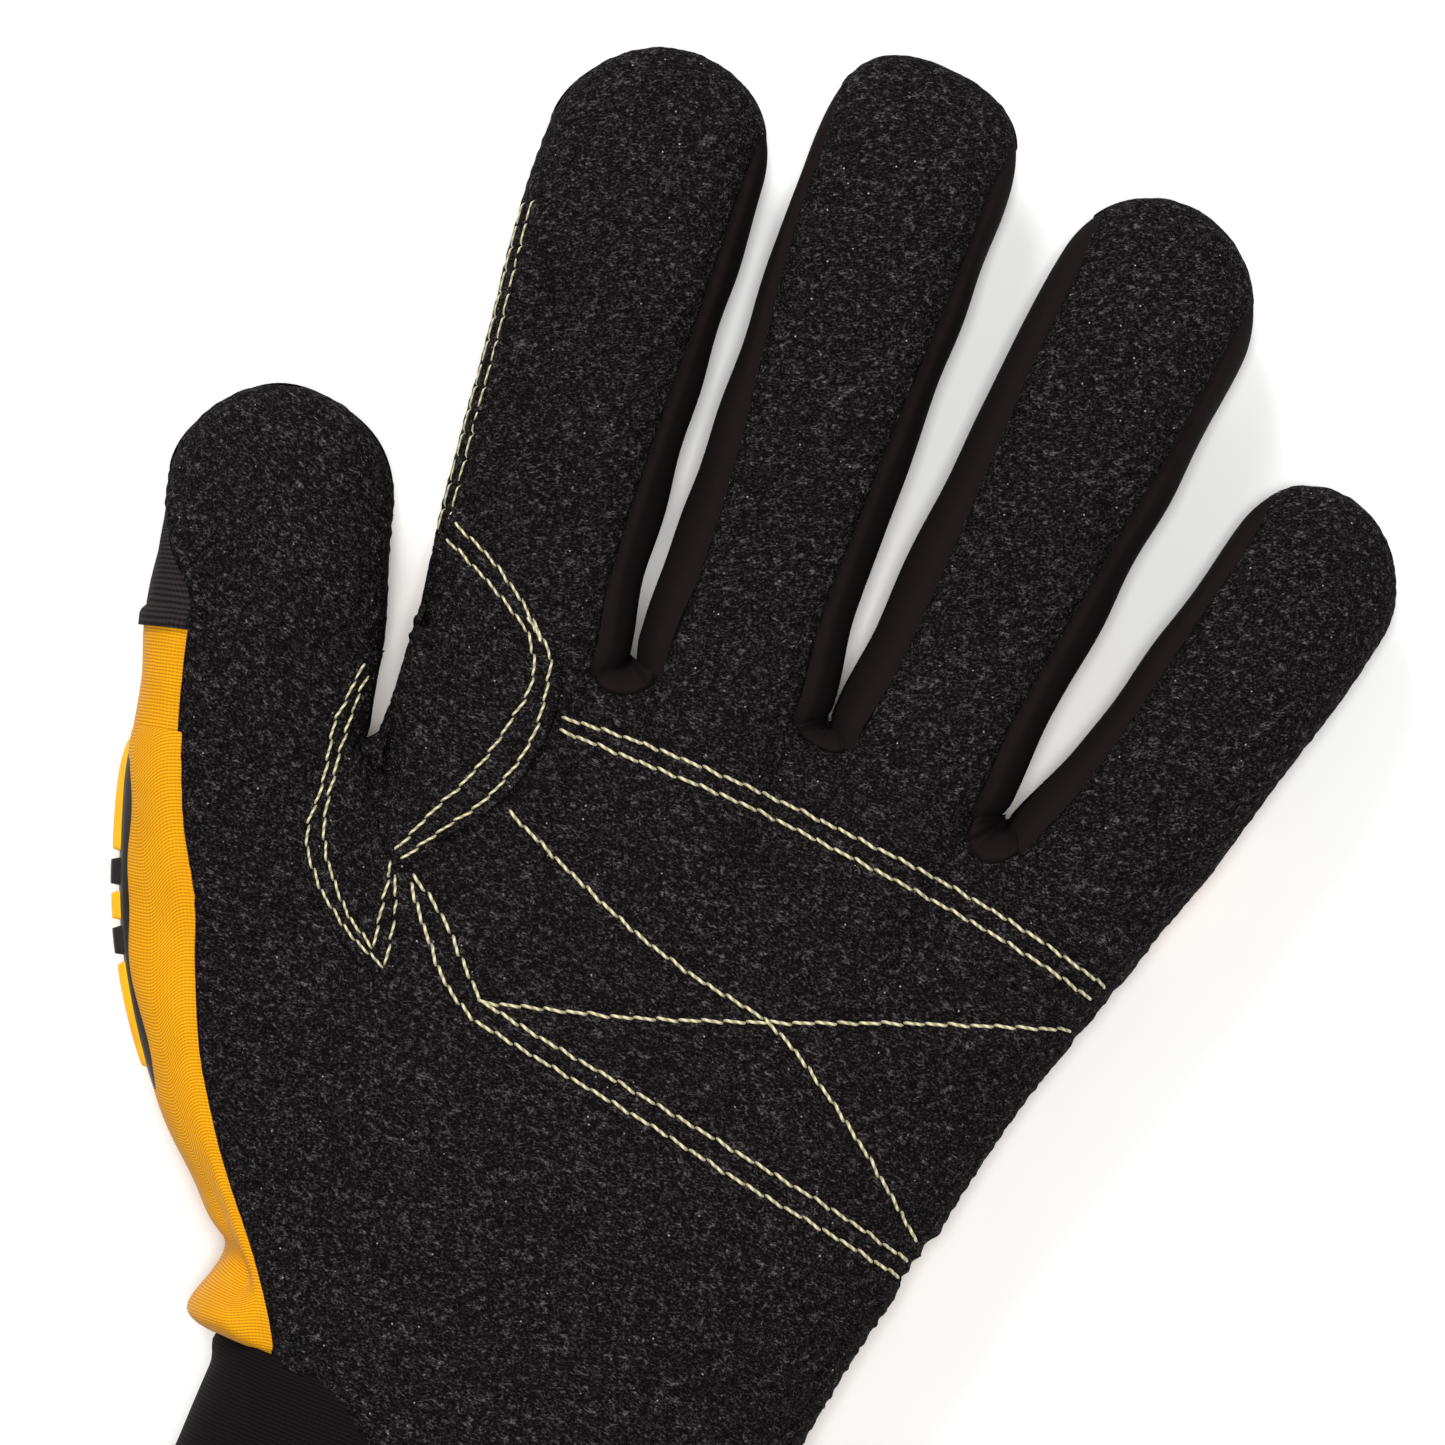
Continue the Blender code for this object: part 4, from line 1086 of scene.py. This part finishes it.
# %% [markdown]
# ## Stitches
#
# A row of stitches could be one dashed tube, but sewn thread is a string of separate grains, each
# fat in the middle and diving into the cloth at both ends, and each a little askew. One formula
# gives every stitch of a row at once: stitch, ring and side are three axes of one array.

# %% Stitches
PITCH, STITCH = 2.8, 3.1  # mm from stitch to stitch, and length of one under its neighbours
QUILTING_HALF, PATCH_HALF = 0.22, 0.18  # half the thread's thickness


def stitch_row(line, height, flat, half):
    """Rings of all the stitches on a path: shape (stitches, rings, sides, 3)."""
    path = np.c_[line, height]
    walked = lengths_along(path)
    count = max(2, int(walked[-1] / PITCH))
    centre = (np.arange(count) + 0.5) * walked[-1] / count
    ring = np.linspace(-0.5, 0.5, 9)
    place = centre[:, None] + ring[None, :] * STITCH
    spine = np.stack([np.interp(place, walked, column) for column in path.T], -1)
    ahead = np.gradient(spine, axis=1)
    ahead /= np.linalg.norm(ahead, axis=-1, keepdims=True)
    side = np.cross(ahead, flat)
    side /= np.linalg.norm(side, axis=-1, keepdims=True)
    over = np.cross(side, ahead)
    askew = 0.16 + 0.10 * np.sin(2.4 * np.arange(count) + count)[:, None, None]
    spine = spine + side * askew * ring[:, None] * 2.0
    spine = spine + over * (0.16 - 0.3 * (2.0 * ring[:, None]) ** 8)
    turn = np.linspace(0.0, 2.0 * np.pi, 6, endpoint=False)[:, None]
    fat = half * np.sqrt(np.clip(1.0 - (1.9 * ring) ** 6, 0.02, 1.0))[:, None, None]
    round_it = side[:, :, None] * np.cos(turn) + 0.75 * over[:, :, None] * np.sin(turn)
    return spine[:, :, None] + fat * round_it


def sew(name, rows):
    """One mesh of the stitches of several rows, each stitch a closed little tube."""
    rings = np.concatenate(rows)
    count, long, sides = rings.shape[:3]
    quads = quads_of(long, sides, ring=True).reshape(-1, 4)
    caps = np.stack([np.arange(sides)[::-1], np.arange(sides) + (long - 1) * sides])
    first = np.arange(count)[:, None, None] * long * sides
    faces = (quads + first).reshape(-1, 4).tolist() + (caps + first).reshape(-1, sides).tolist()
    along, round_it = np.arange(long) * STITCH / long, np.arange(sides) * 0.37
    twist = np.stack(np.meshgrid(along, round_it, indexing="ij"), -1).reshape(-1, 2)
    return make_mesh(name, rings.reshape(-1, 3), faces, np.tile(twist, (count, 1)), THREAD)


def laid(line, targets, half):
    """A row of stitches that lies on top of the targets."""
    fine = curve_through(line, 160)
    return stitch_row(fine, drop(fine, targets), UP, half)


rows = [laid(row, [PALM], QUILTING_HALF) for row in QUILTING]
quilting = sew("palm_quilting_thread", rows)
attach(quilting, "hand")
for name, digit in (("index", INDEX), ("thumb", THUMB)):
    rows = [laid(row, [PATCH[name], PALM], PATCH_HALF) for row in LOBE_ROWS[name]]
    bend(sew(f"saddle_thread_{name}", rows), digit, "lower")
print("quilting:", len(quilting.data.polygons), "faces")

# %% [markdown]
# Two more rows hold the index finger's outer seam. They lie on its side wall, so they are drawn
# on the finger's own surface, at two angles of its section.

# %% Index seam rows


def side_row(degrees, start, end):
    """Stitches along the index finger at one section angle, start to end mm from its root."""
    share = np.linspace(start, end, 120) / INDEX.straight
    line = finger_surface(INDEX, np.full_like(share, np.radians(degrees)), share)
    out = outward_from(INDEX, line) * (1.0, 1.0, 0.35)
    out /= np.linalg.norm(out, axis=1, keepdims=True)
    line = line + (0.1 + side_swell(INDEX, line))[:, None] * out
    return stitch_row(line[:, :2], line[:, 2], out.mean(0), PATCH_HALF)


SEAM_ANGLES = (149.0, 162.0)
below, above = (12.0, INDEX.split), (INDEX.split, 54.0)
for segment, ends in zip(SEGMENTS, (below, above)):
    rows = [side_row(angle, *ends) for angle in SEAM_ANGLES]
    bend(sew(f"index_seam_thread_{segment}", rows), INDEX, segment)
print("index seam rows from", below[0], "to", above[1], "mm")

# %% [markdown]
# ## Moulded guards
#
# A guard is moulded in one tool: a thin base with raised bars. Both are reliefs on the surface that
# they lie on: a height that is flat in the middle and rounds off to nothing at its four edges.

# %% Thumb guard
GUARD_FROM, GUARD_TO = 0.365, 0.985  # shares of the way from the wrist to the roots
BASE_LAPS, BAR_LAPS = (0.994, 1.105), (0.9985, 1.085)
RELIEF_COLUMNS = 30


def pillow(count, power):
    """Flat in the middle and round at both ends of a row of points."""
    return dome(np.linspace(-1.0, 1.0, count), power)


def thumb_relief(name, laps, shares, under, height, look, slot):
    """A raised block on the thumb's side between two laps and two shares of the guard's length."""
    first, last = (GUARD_FROM + (GUARD_TO - GUARD_FROM) * share for share in shares)
    lap = laps_between(*laps, RELIEF_COLUMNS)
    along = np.linspace(first, last, max(12, int(150 * (last - first))))[:, None]
    grid = hand_surface(*np.broadcast_arrays(lap, along))
    side = np.array([-1.0, 0.0, -0.25])
    shape = pillow(along.size, 10.0)[:, None] * pillow(RELIEF_COLUMNS, 6.0)[None, :]
    lens = dome(2.0 * (along - GUARD_FROM) / (GUARD_TO - GUARD_FROM) - 1.0, 2.2)
    grid = raise_by(grid, side, (under + height * shape) * lens - 0.2)
    return make_piece(name, grid, side, look)


BLACK_MOULDING = (BLACK_RUBBER, "black_moulded_rubber")
YELLOW_MOULDING = (YELLOW_RUBBER, "yellow_moulded_rubber")
BAR_SHARES = {"lower": (0.08, 0.362), "middle": (0.466, 0.55), "upper": (0.654, 0.99)}
BLOCK_SHARES = ((0.373, 0.455), (0.561, 0.643))
base = thumb_relief("thumb_guard_base", BASE_LAPS, (0.0, 1.0), 0.0, 0.75, *BLACK_MOULDING)
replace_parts(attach(base, "hand"), "thumb_guard")
for part, shares in BAR_SHARES.items():
    bar = thumb_relief(f"thumb_guard_{part}_bar", BAR_LAPS, shares, 0.3, 1.5, *YELLOW_MOULDING)
    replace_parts(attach(bar, "hand"), f"thumb_guard_bar_{part}")
for number, shares in enumerate(BLOCK_SHARES):
    name = f"thumb_guard_block_{number + 1}"
    block = thumb_relief(name, BAR_LAPS, shares, 0.3, 1.6, *BLACK_MOULDING)
    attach(block, "hand")
print("thumb guard: a base, three bars, two blocks")

# %% [markdown]
# The knuckle guard lies under the hand and is what the glove rests on. Its plan is a rounded
# rectangle, again a superellipse, and rings of that outline shrink towards its middle while the
# height rounds off at the rim.

# %% Knuckle guard
GUARD_HALF_LENGTH, GUARD_HALF_WIDTH, BAR_WIDTH, BAR_GAP = 36.0, 11.0, 12.0, 5.0
GUARD_TOP, GUARD_BOTTOM, BAR_TOP, BAR_BOTTOM = 3.6, 2.2, 2.3, 0.03
PLATE_POWER = 4.0  # exponent of a plate's rounded outline
TOP_RINGS, EDGE_RINGS, UNDER_RINGS = 8, 6, 12


def plate(name, middle, half_length, half_width, top, bottom, look, slot):
    """A rounded plate: rings of a superellipse outline, from the upper rim down over the edge."""
    turn = np.linspace(0.0, 2.0 * np.pi, 96, endpoint=False)[None, :]
    shrink = np.linspace(1.0, 0.02, UNDER_RINGS)
    out = np.concatenate([np.linspace(0.02, 1.0, TOP_RINGS), np.full(EDGE_RINGS, 1.0), shrink])
    lift = np.concatenate([
        np.ones(TOP_RINGS), np.linspace(1.0, 0.35, EDGE_RINGS), 0.30 * smooth(shrink, 0.86, 1.0),
    ])
    across, along = (signed_power(wave(turn), 2.0 / PLATE_POWER) for wave in (np.cos, np.sin))
    x, y = middle + half_length * out[:, None] * across, half_width * out[:, None] * along
    z = np.broadcast_to(bottom + (top - bottom) * lift[:, None], x.shape)
    grid = np.stack([x, y, z], -1)
    outward = grid - (middle, 0.0, (top + bottom) / 2)
    return make_piece(name, grid, outward, look, ring=True)


guard = plate(
    "knuckle_guard_base", 0.0, GUARD_HALF_LENGTH, GUARD_HALF_WIDTH, GUARD_TOP, GUARD_BOTTOM,
    *BLACK_MOULDING,
)
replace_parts(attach(guard, "hand"), "knuckle_guard")
bar_length = (2.0 * GUARD_HALF_LENGTH - 4.0 * BAR_GAP) / 3.0
for number in range(3):
    middle = (number - 1) * (bar_length + BAR_GAP)
    bar = plate(
        f"knuckle_guard_bar_{number + 1}", middle, bar_length / 2, BAR_WIDTH / 2,
        BAR_TOP, BAR_BOTTOM, *YELLOW_MOULDING,
    )
    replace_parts(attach(bar, "hand"), f"knuckle_bar_{number + 1}")
print("knuckle guard: bars", round(bar_length, 1), "mm long")

# %% [markdown]
# ## Cuff
#
# The cuff is a tube of neoprene with a jersey face. It is drawn in a little below the wrist seam,
# widens to its mouth and hangs in a few soft waves. A tape is folded over the mouth's raw edge.

# %% Cuff


def cuff_surface(turn, along):
    """Rounded box ring that widens from the wrist seam, along 0, to the mouth, along 1."""
    half = WRIST_HALF_WIDTH + (MOUTH_HALF_WIDTH - WRIST_HALF_WIDTH) * along
    depth = (WRIST_DEPTH + (MOUTH_DEPTH - WRIST_DEPTH) * along) / 2
    waist = 1.7 * smooth(along, -0.02, 0.06) * (1.0 - smooth(along, 0.2, 0.7)) - 0.6
    x = WRIST[0] + (half - waist) * signed_power(np.cos(turn), 2.0 / HAND_POWER)
    z = depth + (depth - 0.4) * signed_power(np.sin(turn), 2.0 / HAND_POWER)
    return np.stack(np.broadcast_arrays(x, WRIST[1] - CUFF_LENGTH * along, z), -1)


def even_turns(count):
    """Angles that place points evenly round the cuff's section."""
    fine = np.linspace(0.0, 2.0 * np.pi, 4001)
    walked = lengths_along(cuff_surface(fine, np.full_like(fine, 0.5)))
    return np.interp(np.linspace(0.0, walked[-1], count, endpoint=False), walked, fine)[None, :]


turn, along = even_turns(240), np.linspace(-0.012, 1.0, 84)[:, None]
cuff = cuff_surface(*np.broadcast_arrays(turn, along))
CUFF_CORE = np.array([WRIST[0], 0.0, WRIST_DEPTH / 2])
outward = (cuff - CUFF_CORE) * (1.0, 0.0, 1.0)
sag = 0.35 * ripple(cuff, 34.0, 61) * smooth(along, 0.02, 0.3) * smooth(cuff[..., 2], 1.0, 12.0)
cuff = raise_by(cuff, outward, sag - 0.8 * (1.0 - smooth(along, -0.01, 0.02)))
CUFF = make_piece("cuff_neoprene", cuff, outward, NEOPRENE, ring=True)
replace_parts(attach(thicken(CUFF, 1.8), "hand"), "cuff")
print("cuff:", len(CUFF.data.polygons), "quads")

# %% Mouth tape
OUTSIDE, INSIDE = np.linspace(0.0, 1.0, 10), np.linspace(0.0, 1.0, 12)  # rows of the two faces
profile = np.concatenate([np.linspace(0.91, 1.004, 10), np.linspace(1.004, 0.88, 12)])[:, None]
lift = [0.5 * smooth(OUTSIDE, 0.0, 0.12), -0.5 - 1.9 * smooth(INSIDE, 0.0, 0.2)]
lift = np.concatenate(lift)[:, None, None]
tape = cuff_surface(*np.broadcast_arrays(turn, profile))
tape = tape + normals_of(tape[:10], outward[:1])[9:10] * lift
tape[..., 2] = np.maximum(tape[..., 2], 0.05)
outward = (tape - CUFF_CORE) * (1.0, 0.0, 1.0)
TAPE = make_piece("cuff_mouth_tape", tape, outward, STRIP_JERSEY, ring=True)
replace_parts(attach(TAPE, "hand"), "cuff_binding")
print("tape:", len(TAPE.data.polygons), "quads")

# %% [markdown]
# ## Lining and pad
#
# Inside are a fleece lining for the hand and each finger, and a foam pad that the quilting holds
# behind the palm. They follow the panels outside them, a few millimetres further in.

# %% Lining and pad
for digit in DIGITS:
    for segment in SEGMENTS:
        share = finger_shares(digit, segment, 2.0)
        turn = np.linspace(0.0, 2.0 * np.pi, 48, endpoint=False)[None, :]
        grid = finger_surface(digit, *np.broadcast_arrays(turn, share))
        outward = outward_from(digit, grid)
        grid = grid - 0.25 * outward
        name = f"{digit.name}_fleece_{segment}"
        piece = make_piece(name, grid, outward, FLEECE, ring=True)
        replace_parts(bend(piece, digit, segment), f"{digit.name}_lining_{segment}")
walk = np.linspace(0.0, np.interp(2.0, LAPS, WALKED), 120, endpoint=False)
lap = np.interp(walk, WALKED, LAPS)[None, :]
grid = hand_surface(*np.broadcast_arrays(lap, np.linspace(0.0, 0.94, 60)[:, None]))
outward = (grid - HAND_CORE) * (1.0, 0.0, 1.0)
grid = raise_by(grid, outward, np.full(grid.shape[:2], -3.9))
LINING = make_piece("hand_fleece", grid, outward, FLEECE, ring=True)
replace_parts(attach(thicken(LINING, 0.9), "hand"), "hand_lining")
lap, along = np.linspace(0.05, 0.60, 60)[None, :], np.linspace(0.42, 0.80, 50)[:, None]
grid = hand_surface(*np.broadcast_arrays(lap, along))
soft_edge = pillow(50, 8.0)[:, None] * pillow(60, 8.0)[None, :]
near_row = np.min([distance_to(row, grid) for row in PALM_ROWS], axis=0)
grid = raise_by(grid, UP, -2.6 + 0.6 * soft_edge - 0.4 * mound(near_row, 2.0))
PAD = make_piece("palm_foam_pad", grid, UP, FOAM)
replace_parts(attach(thicken(PAD, 1.1), "hand"), "palm_pad")
print("lining and pad done")

# %% [markdown]
# ## Floor, light and camera
#
# The glove was photographed from straight above on white, with broad soft light and a long lens.
# A large lamp over the camera gives the even light, and a smaller one from the upper left models
# the crinkles.

# %% Stage
FLOOR = bpy.data.meshes.new("floor")
FLOOR.from_pydata([(-2, -2, 0), (2, -2, 0), (2, 2, 0), (-2, 2, 0)], [], [(0, 1, 2, 3)])
white, tree, shader = start_finish(
    "white_backdrop_paper", {"Roughness": 0.9, "Specular IOR Level": 0.1}
)
paper = add(tree, "ShaderNodeTexNoise", {
    "Vector": add(tree, "ShaderNodeTexCoord").outputs["Object"], "Scale": 40.0, "Detail": 2.0,
})
tone = mix(tree, paper.outputs[0], linear("#f7f7f6"), linear("#fcfcfb"))
tree.links.new(tone, shader.inputs["Base Color"])
FLOOR.materials.append(white)
add_object("floor", FLOOR)


def lamp(name, place, aim, size, power):
    """A square soft lamp that points from its place to its aim."""
    light = bpy.data.lights.new(name, "AREA")
    light.energy, light.size = power, size
    stand = add_object(name, light)
    stand.location = place
    stand.rotation_euler = (Vector(aim) - Vector(place)).to_track_quat("-Z", "Y").to_euler()


lamp("key_light", (-0.7, 0.9, 1.0), (0.0, 0.0, 0.02), 0.5, 15.0)
lamp("top_light", (0.0, 0.0, 1.9), (0.0, 0.0, 0.0), 0.35, 26.0)
lamp("fill_light", (0.9, -0.6, 0.8), (0.0, 0.0, 0.02), 0.9, 3.0)
world = bpy.data.worlds.new("studio")
world.use_nodes = True
sky = world.node_tree.nodes["Background"]
sky.inputs["Color"].default_value = (1.0, 1.0, 1.0, 1.0)
sky.inputs["Strength"].default_value = 0.25
bpy.context.scene.world = world
bpy.context.scene.view_settings.view_transform = "Standard"

# %% Camera
PHOTO_WIDTH = 180.6  # mm that the picture is wide, at the fingers' height
PHOTO_CENTRE, PHOTO_TURN = (0.55, 11.7), 20.0  # mm and degrees
FINGER_TOP, CAMERA_HEIGHT = 28.0, 1500.0  # mm above the floor
lens = bpy.data.cameras.new("camera")
lens.sensor_width = 36.0
lens.lens = lens.sensor_width * (CAMERA_HEIGHT - FINGER_TOP) / PHOTO_WIDTH
lens.clip_end = 20.0
camera = add_object("camera", lens)
camera.location = np.array([*PHOTO_CENTRE, CAMERA_HEIGHT]) * MM
camera.rotation_euler = (0.0, 0.0, np.radians(PHOTO_TURN))
bpy.context.scene.camera = camera
print("camera:", round(lens.lens), "mm lens")
